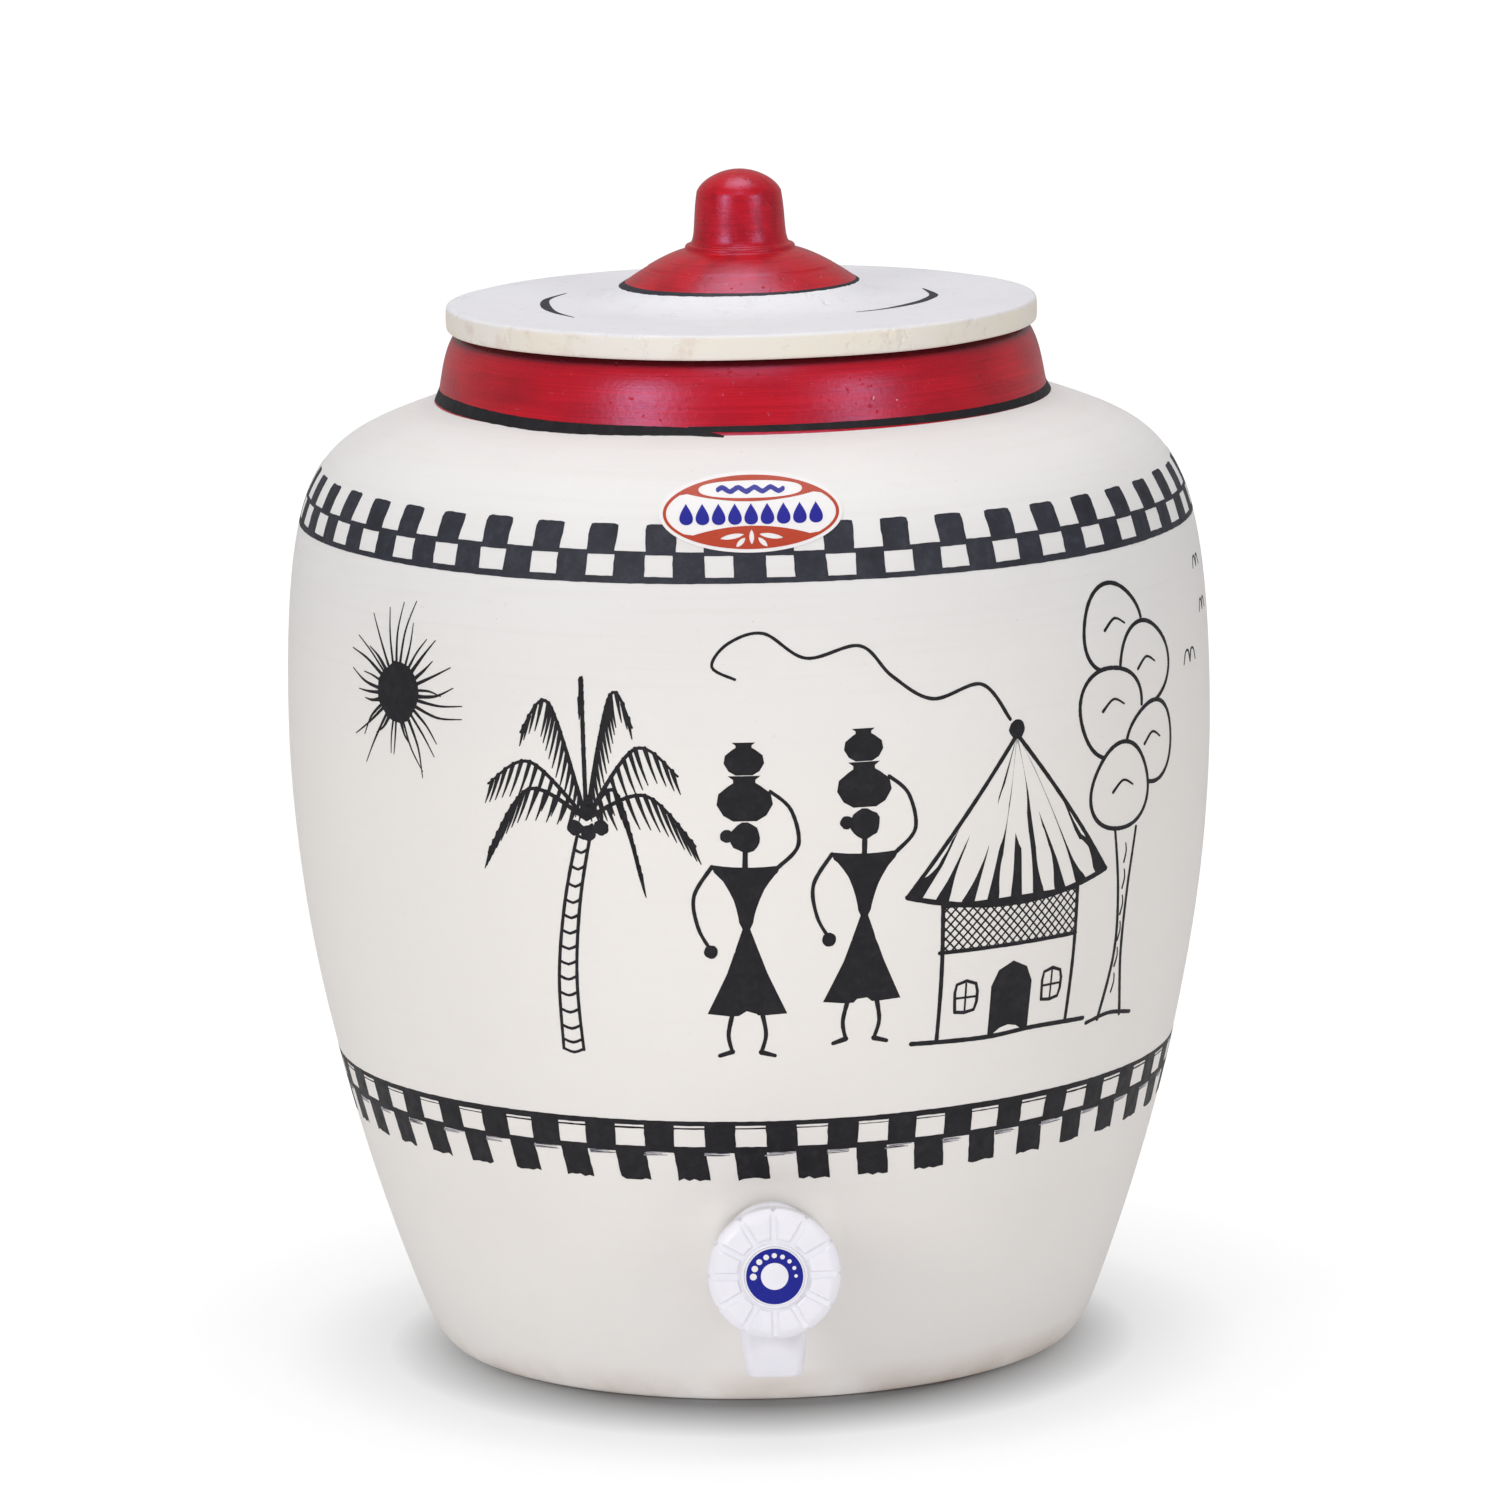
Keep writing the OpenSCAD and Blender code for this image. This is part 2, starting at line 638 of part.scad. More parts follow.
module knob_screw() {
    thread_l = 5;
    slot_w = 0.9;
    color([0.72, 0.72, 0.74]) at_tap() difference() {
        union() {
            tap_ring(web_front, web_front + screw_head_t, screw_head_d);
            tap_ring(web_front - web_t - thread_l + 1, web_front + eps, knob_screw_d - 0.4 - 2 * run_gap);
        }
        for (a = [0, 90]) rotate([0, 0, a])
            translate([-screw_head_d / 3, -slot_w / 2, web_front + screw_head_t / 2])
                cube([screw_head_d * 2 / 3, slot_w, screw_head_t]);
    }
}

module knob_cap() {
    skirt_wall = 1.2;
    cap_skirt_l = 1.1;
    color([0.97, 0.97, 0.98]) at_tap() difference() {
        union() {
            tap_ring(cap_back, cap_front, cap_d);
            tap_ring(cap_back - cap_skirt_l, cap_back + eps, well_d - 2 * slip_gap,
                well_d - 2 * slip_gap - 2 * skirt_wall);
        }
        tap_ring(cap_front - index_t, cap_front + 1, index_d, index_hole_d);
    }
}

module index_ring() {
    color([0.1, 0.15, 0.6]) at_tap()
        tap_ring(cap_front - index_t, cap_front, index_d - run_gap, index_hole_d + run_gap);
}

pot();
lid();
front_label();
tap_body();
outer_gasket();
inner_gasket();
back_washer();
lock_nut();
bonnet();
bonnet_seal();
gland_ring();
spindle();
jumper();
valve_washer();
washer_screw();
knob();
knob_screw();
knob_cap();
index_ring();
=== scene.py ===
import bisect
import random
from math import asin, atan2, ceil, copysign, cos, dist, hypot, pi, radians, sin, tau

import bmesh
import bpy
from mathutils import Matrix, Vector, noise
from mathutils.geometry import delaunay_2d_cdt


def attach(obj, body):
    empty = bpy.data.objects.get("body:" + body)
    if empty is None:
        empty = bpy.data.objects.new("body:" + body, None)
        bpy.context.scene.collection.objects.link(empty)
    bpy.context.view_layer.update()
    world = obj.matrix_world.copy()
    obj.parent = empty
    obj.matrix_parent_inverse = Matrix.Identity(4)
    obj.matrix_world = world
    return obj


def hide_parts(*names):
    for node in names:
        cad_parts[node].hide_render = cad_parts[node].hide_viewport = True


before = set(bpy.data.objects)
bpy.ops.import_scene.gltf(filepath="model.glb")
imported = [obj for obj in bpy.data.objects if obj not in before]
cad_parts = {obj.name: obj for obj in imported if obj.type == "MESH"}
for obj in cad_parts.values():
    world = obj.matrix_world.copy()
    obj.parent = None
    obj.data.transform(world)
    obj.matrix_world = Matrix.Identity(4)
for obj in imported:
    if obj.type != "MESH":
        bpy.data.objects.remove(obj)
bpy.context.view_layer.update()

# The looks of a painted clay water pot with a lift-off lid and a plastic tap.
# Metres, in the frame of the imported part: +Z up, the tap faces -Y.
# Drawings are laid out in millimetres, across (u) and up (v), and then wrapped round the clay.

MM = 0.001

# ---- camera
# The photograph's perspective, from the circles on the pot.
IMAGE_PX = 1500
FOCAL_PX = 8409.4
SENSOR_MM = 36.0
CAMERA_DISTANCE = 2.7
CAMERA_HEIGHT = 0.6657
CAMERA_TURN = radians(1.45)
CAMERA_PITCH = radians(9.954)
CAMERA_ROLL = radians(1.149)


def make_camera():
    data = bpy.data.cameras.new("camera")
    data.sensor_width = SENSOR_MM
    data.lens = FOCAL_PX / IMAGE_PX * SENSOR_MM
    camera = bpy.data.objects.new("camera", data)
    bpy.context.scene.collection.objects.link(camera)
    stand = Matrix.Translation((0, -CAMERA_DISTANCE, CAMERA_HEIGHT))
    tilt = Matrix.Rotation(pi / 2 - CAMERA_PITCH, 4, "X") @ Matrix.Rotation(-CAMERA_ROLL, 4, "Z")
    camera.matrix_world = Matrix.Rotation(-CAMERA_TURN, 4, "Z") @ stand @ tilt
    bpy.context.scene.camera = camera


# ---- materials
def linear(color):
    """The shader's colour from red, green and blue as the screen has them, 0 to 255."""
    parts = [value / 255 for value in color]
    return (*(c / 12.92 if c <= 0.04045 else ((c + 0.055) / 1.055) ** 2.4 for c in parts), 1.0)


class Finish:
    """A material of one Principled shader, with short ways to add procedural detail."""

    def __init__(self, name, color, roughness, **sockets):
        self.material = bpy.data.materials.new(name)
        self.material.use_nodes = True
        self.tree = self.material.node_tree
        self.shader = self.tree.nodes["Principled BSDF"]
        self.shader.inputs["Base Color"].default_value = linear(color)
        self.shader.inputs["Roughness"].default_value = roughness
        for socket, value in sockets.items():
            self.shader.inputs[socket.replace("_", " ")].default_value = value
        self.height = None
        self.place = self.node("ShaderNodeTexCoord").outputs["Object"]

    def node(self, kind, **values):
        made = self.tree.nodes.new(kind)
        for key, value in values.items():
            setattr(made, key, value)
        return made

    def link(self, source, target):
        self.tree.links.new(source, target)

    def math(self, operation, a, b=0.0):
        made = self.node("ShaderNodeMath", operation=operation)
        for socket, value in zip(made.inputs, (a, b)):
            if isinstance(value, (int, float)):
                socket.default_value = value
            else:
                self.link(value, socket)
        return made.outputs[0]

    def split(self):
        """The object's own x, y and z."""
        parts = self.node("ShaderNodeSeparateXYZ")
        self.link(self.place, parts.inputs[0])
        return parts.outputs

    def distance(self, x, y):
        """How far a point lies from the Z axis."""
        return self.math("SQRT", self.math("ADD", self.math("MULTIPLY", x, x), self.math("MULTIPLY", y, y)))

    def stretched(self, scale):
        """The object's own coordinates, scaled differently along each axis."""
        mapping = self.node("ShaderNodeMapping")
        mapping.inputs["Scale"].default_value = scale
        self.link(self.place, mapping.inputs["Vector"])
        return mapping.outputs[0]

    def turned(self, scale_turn, scale_radius, scale_z):
        """Coordinates round the Z axis: turn, radius and height, so that streaks run in circles."""
        x, y, z = self.split()
        turn = self.math("ARCTAN2", x, self.math("MULTIPLY", y, -1))
        scaled = ((turn, scale_turn), (self.distance(x, y), scale_radius), (z, scale_z))
        joined = self.node("ShaderNodeCombineXYZ")
        for socket, (value, scale) in zip(joined.inputs, scaled):
            self.link(self.math("MULTIPLY", value, scale), socket)
        return joined.outputs[0]

    def noise(self, scale, detail=3.0, rough=0.5, vector=None):
        made = self.node("ShaderNodeTexNoise")
        made.inputs["Scale"].default_value = scale
        made.inputs["Detail"].default_value = detail
        made.inputs["Roughness"].default_value = rough
        self.link(vector or self.place, made.inputs["Vector"])
        return made.outputs["Fac"]

    def between(self, value, low, high, to_low=0.0, to_high=1.0):
        """Turns the range from low to high into another one, and holds its ends outside it."""
        made = self.node("ShaderNodeMapRange", clamp=True)
        self.link(value, made.inputs["Value"])
        for socket, number in zip(made.inputs[1:5], (low, high, to_low, to_high)):
            socket.default_value = number
        return made.outputs[0]

    def tint(self, color, amount):
        """Lays another colour over the colour so far, as strongly as amount says."""
        base = self.shader.inputs["Base Color"]
        mix = self.node("ShaderNodeMix", data_type="RGBA")
        if base.is_linked:
            self.link(base.links[0].from_socket, mix.inputs["A"])
        else:
            mix.inputs["A"].default_value = base.default_value[:]
        mix.inputs["B"].default_value = linear(color)
        self.link(amount, mix.inputs["Factor"])
        self.link(mix.outputs["Result"], base)

    def mottle(self, color, pattern, low, high, least=0.0, most=1.0):
        """Lays another colour over where a pattern is strong."""
        self.tint(color, self.between(pattern, low, high, least, most))

    def vary_roughness(self, value, low, high):
        self.link(self.between(value, 0.25, 0.75, low, high), self.shader.inputs["Roughness"])

    def bump(self, value, depth):
        """Adds relief of that depth, in metres."""
        made = self.node("ShaderNodeBump")
        made.inputs["Strength"].default_value = 1.0
        made.inputs["Distance"].default_value = depth
        self.link(value, made.inputs["Height"])
        if self.height:
            self.link(self.height, made.inputs["Normal"])
        self.height = made.outputs[0]
        self.link(self.height, self.shader.inputs["Normal"])


def make_cream_clay(name, color, cloud_color, line_color):
    """Slipped clay under a matt wash, with faint throwing lines, pits and specks."""
    finish = Finish(name, color, 0.74, Specular_IOR_Level=0.3)
    cloud = finish.noise(16, 4)
    finish.mottle(cloud_color, cloud, 0.35, 0.7, 0, 0.8)
    lines = finish.noise(1, 5, 0.65, finish.turned(1.2, 60, 420))
    finish.mottle(line_color, lines, 0.5, 0.85, 0, 0.28)
    finish.mottle((176, 163, 148), finish.noise(700, 2), 0.74, 0.79, 0, 0.5)
    finish.vary_roughness(cloud, 0.66, 0.8)
    finish.bump(lines, 0.00010)
    finish.bump(finish.noise(900, 4, 0.6), 0.00005)
    return finish


def make_belly_clay():
    """The wash of the pot: painted light makes it warmer and lighter below the shoulder and paler at the
    foot; rubbed brown along its edge.
    """
    finish = make_cream_clay("cream_clay", (229, 227, 226), (224, 221, 220), (210, 205, 201))
    z = finish.split()["Z"]
    # Painted light: the belly below the shoulder is tinted lighter and warmer, as the lamps would make it.
    finish.mottle((235, 230, 225), z, 0.2, 0.27, 0.75, 0)
    # Painted light: the foot is tinted paler where too little light reaches it.
    finish.mottle((242, 239, 236), z, 0.0, 0.06, 0.7, 0)
    stain = finish.between(finish.noise(30, 5), 0.4, 0.66, 0, 0.6)
    finish.tint((196, 172, 150), finish.math("MULTIPLY", finish.between(z, 0.0, 0.012, 1, 0), stain))
    return finish.material


def make_lid_clay():
    """The wash of the lid: tinted cool on top and warmer on the edge as painted light, and smudged along the
    edge.
    """
    finish = make_cream_clay("lid_clay", (229, 228, 232), (223, 221, 226), (212, 209, 212))
    # Painted light: the edge is tinted warm against the cool top, as light from the front and a bluish light
    # from above would colour them.
    edge = finish.between(finish.split()["Z"], 0.3386, 0.3398, 1, 0)
    painted_warmth = finish.between(finish.noise(26, 4), 0.3, 0.6, 0.35, 1)
    finish.tint((232, 224, 210), finish.math("MULTIPLY", edge, painted_warmth))
    smudge = finish.between(finish.noise(60, 5, 0.65), 0.56, 0.72, 0, 0.6)
    finish.tint((206, 178, 160), finish.math("MULTIPLY", edge, smudge))
    finish.bump(finish.between(finish.noise(150, 3, 0.6), 0.3, 0.42), 0.0003)
    return finish.material


def make_raw_clay():
    """Bare fired clay, inside the pot and under the lid."""
    finish = Finish("raw_clay", (196, 142, 110), 0.88, Specular_IOR_Level=0.25)
    finish.mottle((176, 120, 90), finish.noise(14, 5), 0.4, 0.7)
    finish.mottle((214, 168, 136), finish.noise(380, 3), 0.55, 0.8, 0, 0.7)
    rings = finish.noise(1, 4, 0.6, finish.turned(0.8, 120, 260))
    finish.mottle((160, 106, 78), rings, 0.5, 0.8, 0, 0.5)
    finish.bump(rings, 0.00035)
    finish.bump(finish.noise(700, 4, 0.6), 0.00012)
    return finish.material


def make_red_paint():
    """Crimson enamel laid on with a brush while the pot turned, with a bluish gloss, and painted shade round
    the top of the neck under the lid.
    """
    gloss = (0.45, 0.5, 0.9, 1.0)
    finish = Finish("red_paint", (176, 8, 16), 0.3, Specular_IOR_Level=0.62, Specular_Tint=gloss)
    streaks = finish.noise(1, 6, 0.75, finish.turned(1.3, 900, 1700))
    finish.mottle((214, 14, 24), streaks, 0.42, 0.72, 0, 0.75)
    cloud = finish.noise(1, 3, 0.5, finish.turned(3, 60, 90))
    finish.mottle((138, 4, 10), cloud, 0.45, 0.72, 0, 0.6)
    bare_specks = finish.noise(230, 3, 0.6)
    finish.mottle((224, 196, 194), bare_specks, 0.75, 0.77, 0, 0.8)
    z = finish.split()["Z"]
    # Painted shade: a dark band round the top of the neck, just under the lid's edge.
    shade_from_neck, shade_to_lid = finish.between(z, 0.3286, 0.3302), finish.between(z, 0.3325, 0.333, 0.85, 0)
    finish.tint((30, 6, 12), finish.math("MULTIPLY", shade_from_neck, shade_to_lid))
    finish.vary_roughness(streaks, 0.25, 0.34)
    finish.bump(streaks, 0.00005)
    finish.bump(finish.noise(520, 3, 0.6), 0.00008)
    finish.bump(finish.between(finish.noise(420, 1), 0.7, 0.78, 1, 0), 0.00016)
    return finish.material


def make_black_paint(name, color, thin):
    """Blue-black poster paint, drawn thin enough to show the brush."""
    finish = Finish(name, color, 0.55, Specular_IOR_Level=0.25)
    finish.mottle(thin, finish.noise(260, 5, 0.7), 0.46, 0.75, 0, 0.8)
    finish.mottle((16, 16, 20), finish.noise(60, 3), 0.5, 0.75, 0, 0.6)
    finish.vary_roughness(finish.noise(300, 3), 0.48, 0.66)
    finish.bump(finish.noise(1500, 3), 0.00003)
    return finish.material


def make_dry_paint():
    """The same paint where the brush ran dry and let the clay show through."""
    finish = Finish("dry_black_paint", (160, 158, 166), 0.62)
    streaks = finish.noise(1, 4, 0.7, finish.turned(30, 900, 1400))
    finish.mottle((60, 60, 72), streaks, 0.45, 0.6)
    finish.bump(finish.noise(1400, 3), 0.00003)
    return finish.material


def make_print(name, color, shade):
    """Satin ink on a paper sticker."""
    finish = Finish(name, color, 0.45, Specular_IOR_Level=0.25)
    finish.mottle(shade, finish.noise(900, 4, 0.6), 0.45, 0.75, 0, 0.5)
    finish.vary_roughness(finish.noise(240, 3), 0.36, 0.5)
    finish.bump(finish.noise(1800, 3), 0.00001)
    return finish.material


def make_plastic(name, color, shade, roughness, relief=0.00002):
    """Moulded plastic with slight orange peel and flow marks."""
    finish = Finish(name, color, roughness, Specular_IOR_Level=0.5)
    finish.mottle(shade, finish.noise(120, 4), 0.45, 0.75, 0, 0.6)
    finish.vary_roughness(finish.noise(260, 3), roughness - 0.06, roughness + 0.08)
    finish.bump(finish.noise(420, 3), relief)
    finish.bump(finish.noise(2600, 2), relief / 3)
    return finish.material


def make_rubber():
    finish = Finish("black_rubber", (38, 38, 40), 0.7)
    finish.mottle((58, 58, 60), finish.noise(500, 4), 0.5, 0.75, 0, 0.7)
    finish.bump(finish.noise(1600, 4), 0.00004)
    return finish.material


def make_metal(name, color, shade, roughness):
    """Turned metal: fine rings round the tap's axis, and a little tarnish."""
    finish = Finish(name, color, roughness, Metallic=1.0)
    finish.mottle(shade, finish.noise(300, 4), 0.5, 0.8, 0, 0.7)
    grooves = finish.noise(1, 3, 0.5, finish.stretched((2500, 300, 2500)))
    finish.vary_roughness(grooves, roughness - 0.08, roughness + 0.1)
    finish.bump(finish.noise(2400, 2), 0.00001)
    return finish.material


CREAM = make_belly_clay()
LID_CLAY = make_lid_clay()
RAW = make_raw_clay()
RED = make_red_paint()
SLATE = make_black_paint("slate_paint", (44, 45, 54), (60, 61, 72))
BLACK = make_black_paint("black_paint", (24, 22, 26), (42, 40, 46))
DRY = make_dry_paint()
WHITE_PLASTIC = make_plastic("white_plastic", (236, 234, 240), (229, 227, 235), 0.36, 0.00001)
INNER_PLASTIC = make_plastic("inner_plastic", (214, 214, 218), (200, 200, 206), 0.45)
RUBBER = make_rubber()
STEEL = make_metal("stainless_steel", (196, 196, 198), (160, 160, 164), 0.32)
BRASS = make_metal("turned_brass", (206, 170, 96), (168, 128, 66), 0.34)
BLUE_FOIL = make_print("blue_foil", (18, 28, 140), (14, 20, 118))
STICKER_WHITE = make_print("sticker_white", (233, 230, 230), (227, 224, 224))
STICKER_RUST = make_print("sticker_rust", (178, 62, 36), (164, 52, 32))
STICKER_BLUE = make_print("sticker_blue", (22, 24, 142), (20, 20, 120))


# ---- the pot's outline
# Millimetres, as the solid part has them.
FOOT_R = 100.5
FOOT_TOP = (109.5, 10.0)
BELLY = (150.0, 205.0)
NECK_FOOT = (100.0, 309.0)
LIP_R = 96.5
LIP_Z = 332.0
LIP_ROUND = 5.0
MOUTH_R = 86.0
WALL_T = 9.0
FLOOR_T = 11.0


def cubic(a, b, c, d, steps):
    """Points along a cubic curve, as (radius, height)."""
    points = []
    for i in range(steps + 1):
        t = i / steps
        k = ((1 - t) ** 3, 3 * (1 - t) ** 2 * t, 3 * (1 - t) * t * t, t ** 3)
        points.append(tuple(k[0] * a[n] + k[1] * b[n] + k[2] * c[n] + k[3] * d[n] for n in (0, 1)))
    return points


def moved(point, across, up):
    return (point[0] + across, point[1] + up)


FOOT_EDGE = cubic((FOOT_R, 0), (FOOT_R + 3.6, 0), moved(FOOT_TOP, -2, -5), FOOT_TOP, 10)
SIDE = cubic(FOOT_TOP, moved(FOOT_TOP, 9.2, 23), moved(BELLY, 0, -86), BELLY, 90)
SIDE += cubic(BELLY, moved(BELLY, 0, 95), moved(NECK_FOOT, 35, -14), NECK_FOOT, 110)[1:]
NECK = cubic((98.6, 311.4), (97.2, 318.2), (LIP_R, LIP_Z - 4.5), (LIP_R - LIP_ROUND, LIP_Z), 26)
OUTSIDE = SIDE + NECK
OUTSIDE_Z = [point[1] for point in OUTSIDE]


def wall_radius(z):
    """Radius of the outside of the clay at a height, in mm."""
    i = min(max(bisect.bisect(OUTSIDE_Z, z), 1), len(OUTSIDE) - 1)
    (r0, z0), (r1, z1) = OUTSIDE[i - 1], OUTSIDE[i]
    t = min(max((z - z0) / (z1 - z0), 0), 1)
    return r0 + (r1 - r0) * t


# The hand's unevenness: the wall wanders inwards by up to twice this, in mm.
WANDER = 0.22


def wander(turn, z):
    spot = Vector((1.3 * sin(turn), -1.3 * cos(turn), z / 55))
    return WANDER * (noise.noise(spot) - 1)


# The flat pad that the tap is clamped to.
TAP_Z = 57.0
PAD_FACE = 129.698
PAD_T = 14.5
HOLE_R = 11.25


def ease(value, start, end):
    """0 before start and 1 after end, with a soft step between."""
    t = min(max((value - start) / (end - start), 0), 1)
    return t * t * (3 - 2 * t)


def pad_shift(x, y, z, outside):
    """How far the clay is pushed along Y for the flat seats of the tap."""
    face, flat_r, blend_r = (PAD_FACE, 17.2, 26) if outside else (PAD_FACE - PAD_T, 19.7, 29)
    if y > -80:
        return 0
    away = hypot(x, z - TAP_Z)
    return (1 - ease(away, flat_r, blend_r)) * (-face - y)


def on_wall(turn, z, lift=0.0):
    """A point on the clay, or lifted off it, from its turn to the right of the tap and its height."""
    slope = (wall_radius(z + 0.2) - wall_radius(z - 0.2)) / 0.4
    out = 1 / hypot(1, slope)
    r = wall_radius(z) + wander(turn, z)
    x, y = r * sin(turn), -r * cos(turn)
    shift = pad_shift(x, y, z, True)
    grown = r + lift * out
    return Vector((grown * sin(turn), -grown * cos(turn) + shift, z - lift * slope * out)) * MM


# ---- meshes
def new_object(name, mesh, *materials):
    for material in materials:
        mesh.materials.append(material)
    made = bpy.data.objects.new(name, mesh)
    bpy.context.scene.collection.objects.link(made)
    return made


def lathe(name, outline, sides, place):
    """A closed skin turned round an axis. Where the outline meets the axis, a ring becomes one point."""
    mesh = bpy.data.meshes.new(name)
    points, rings, faces = [], [], []
    for k, (r, z) in enumerate(outline):
        count = 1 if r == 0 else sides
        rings.append(range(len(points), len(points) + count))
        points += [place(tau * i / sides, r, z, k) for i in range(count)]
    closed = rings[0][0] != rings[0][-1]
    pairs = list(zip(rings, rings[1:])) + ([(rings[-1], rings[0])] if closed else [])
    for low, high in pairs:
        for i in range(sides):
            j = (i + 1) % sides
            if len(low) == 1:
                faces.append((low[0], high[j], high[i]))
            elif len(high) == 1:
                faces.append((low[i], low[j], high[0]))
            else:
                faces.append((low[i], low[j], high[j], high[i]))
    mesh.from_pydata(points, [], faces)
    mesh.shade_smooth()
    return mesh


def paint_rings(mesh, sides, outline, material_of):
    """Gives each ring of faces of a lathe the material that its place in the outline calls for."""
    following = outline[1:] + outline[:1]
    for face in mesh.polygons:
        k = face.index // sides
        (r0, z0), (r1, z1) = outline[k], following[k]
        face.material_index = material_of((r0 + r1) / 2, (z0 + z1) / 2, k)


def dress(obj, body, slot, *nodes):
    """Hangs the piece on the body it rides on, and hides the solids it stands for. Its slot is not used."""
    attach(obj, body)
    if nodes:
        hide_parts(*nodes)


# ---- pot
POT_SIDES = 288


def inset(points, distance):
    """The same outline, moved inwards square to itself."""
    moved_points = []
    for before, here, after in zip(points, points[1:], points[2:]):
        run = (after[0] - before[0], after[1] - before[1])
        size = hypot(*run)
        moved_points.append((here[0] - distance * run[1] / size, here[1] + distance * run[0] / size))
    return moved_points


def pot_outline():
    """From the middle of the foot, up the outside, over the lip and down the inside to the floor."""
    sole = [(0, 0.4), (60, 0.4), (92, 0.2), (98, 0)]
    lip = [(89.6, LIP_Z), (88, LIP_Z - 0.1), (86.9, LIP_Z - 0.7), (86.2, LIP_Z - 1.7)]
    inner = [p for p in inset(SIDE, WALL_T) if p[1] > FLOOR_T + 14 and p[0] > MOUTH_R + 4]
    throat = [(MOUTH_R, LIP_Z - 3.2), (MOUTH_R, 322), (MOUTH_R, 316), (MOUTH_R + 0.4, 311)]
    throat.append((MOUTH_R + 2, inner[-1][1] + 3))
    first = inner[0]
    corner = cubic(first, moved(first, -2, -8.4), (first[0] - 4, FLOOR_T), (first[0] - 14, FLOOR_T), 8)
    floor = [(80, FLOOR_T + 0.1), (50, FLOOR_T + 0.4), (20, FLOOR_T + 0.2), (0, FLOOR_T + 0.2)]
    outer = sole + FOOT_EDGE + OUTSIDE[1:]
    return outer, lip + throat + inner[::-3] + corner[1:] + floor


def make_pot():
    outer, inner = pot_outline()
    outline = outer + inner

    def place(turn, r, z, ring):
        outside = ring < len(outer)
        if z > 2 and (outside or FLOOR_T + 2 < z < LIP_Z - 12):
            r += wander(turn, z)
        x, y = r * sin(turn), -r * cos(turn)
        return Vector((x, y + pad_shift(x, y, z, outside), z)) * MM

    mesh = lathe("painted_pot", outline, POT_SIDES, place)
    pot = new_object("painted_pot", mesh, CREAM, RED, RAW)

    def material_of(r, z, k):
        """Wash, red paint above the neck's foot, and bare clay from the flat of the lip inwards."""
        return 2 if k >= len(outer) - 1 else int(z > NECK_FOOT[1] + 0.3)

    paint_rings(mesh, POT_SIDES, outline, material_of)
    drill_tap_hole(pot)
    dress(pot, "pot_body", "clay", "pot")


def drill_tap_hole(pot):
    """Cuts the round hole that the tap's shank passes through."""
    depth = (PAD_T + 8) * MM
    bpy.ops.mesh.primitive_cylinder_add(vertices=64, radius=HOLE_R * MM, depth=depth)
    drill = bpy.context.object
    middle = Matrix.Translation(Vector((0, PAD_T / 2 - PAD_FACE, TAP_Z)) * MM)
    drill.matrix_world = middle @ Matrix.Rotation(pi / 2, 4, "X")
    cut = pot.modifiers.new("hole", "BOOLEAN")
    cut.operation = "DIFFERENCE"
    cut.object = drill
    bpy.context.view_layer.update()
    shaped = bpy.data.meshes.new_from_object(pot.evaluated_get(bpy.context.evaluated_depsgraph_get()))
    pot.modifiers.clear()
    pot.data = shaped
    bpy.data.objects.remove(drill)


# ---- lid
LID_R = 95.75
LID_T = 8.0
DOME_R = 40.0
DOME_H = 17.0
DOME_FOOT = (58.0, 4.7)
GRIP_R = 15.5
GRIP_TOP_R = 13.6
GRIP_H = 25.0
RED_R = 38.1
LID_SIDES = 256
# Rings of faces down the lid's edge.
EDGE_RINGS = 14


def lid_outline():
    """From the top of the grip down the outside, round the edge and back under the hollow."""
    dome_top = LID_T + DOME_H
    grip_top = dome_top + GRIP_H - 7
    foot_z = LID_T + DOME_FOOT[1]
    crown = cubic((0, dome_top + GRIP_H), (GRIP_TOP_R * 0.42, dome_top + GRIP_H),
                  (GRIP_TOP_R - 2.4, grip_top + 4), (GRIP_TOP_R - 0.5, grip_top + 0.9), 14)
    grip = cubic((GRIP_TOP_R, grip_top), (GRIP_TOP_R + 1.4, grip_top - 8),
                 (GRIP_R - 1.2, dome_top + 4), (GRIP_R + 0.3, dome_top + 1.5), 24)
    grip += cubic((GRIP_R + 0.8, dome_top + 0.95), (GRIP_R + 1.5, dome_top + 1.25),
                  (GRIP_R + 2.4, dome_top + 0.7), (GRIP_R + 2.3, dome_top - 0.4), 6)
    dome = cubic((GRIP_R + 2.7, dome_top - 0.75), (DOME_R * 0.65, LID_T + DOME_H * 0.84),
                 (DOME_R * 0.86, foot_z + (DOME_H - DOME_FOOT[1]) * 0.29), (DOME_R, foot_z), 40)
    foot = cubic((DOME_R, foot_z), (DOME_R + 3.2, foot_z - 3.4),
                 (DOME_FOOT[0] - 8.1, LID_T), (DOME_FOOT[0], LID_T), 20)
    disc = [(r, LID_T) for r in range(62, 91, 4)]
    edge = cubic((LID_R - 1.9, LID_T), (LID_R - 0.3, LID_T), (LID_R, LID_T - 0.3), (LID_R, LID_T - 1.9), 6)
    edge += [(LID_R, 4.0)] + cubic((LID_R, 1.7), (LID_R, 0.3), (LID_R - 0.4, 0), (LID_R - 1.7, 0), 6)
    ring_r = MOUTH_R - 1
    ring = [(90, 0), (ring_r + 0.2, 0), (ring_r, -0.6), (ring_r, -6), (ring_r - 2, -8),
            (ring_r - 6.5, -8), (ring_r - 8, -0.4), (ring_r - 9, 0)]
    hollow = cubic((31, 0), (24.8, 8), (15.5, 16), (0, 16), 14)
    top = crown + grip + dome + foot[1:] + disc
    return top, edge + ring + [(60, 0.2), (45, 0.1)] + hollow


LID_TOP = lid_outline()[0]


def lid_place(turn, r, z, lift=0.0):
    """A point of the lid, moved a little as the potter's hand left it."""
    spot = Vector((sin(turn), -cos(turn), 0))
    if 30 < r and -1 < z:
        r += 0.35 * (noise.noise(spot * 2.2 + Vector((0, 0, z / 7))) - 1)
        z += 0.18 * (noise.noise(spot * 1.7 + Vector((5, 0, r / 30))) - 0.6) * min((r - 30) / 10, 1)
    return Vector((r * sin(turn), -r * cos(turn), z + lift + LIP_Z)) * MM


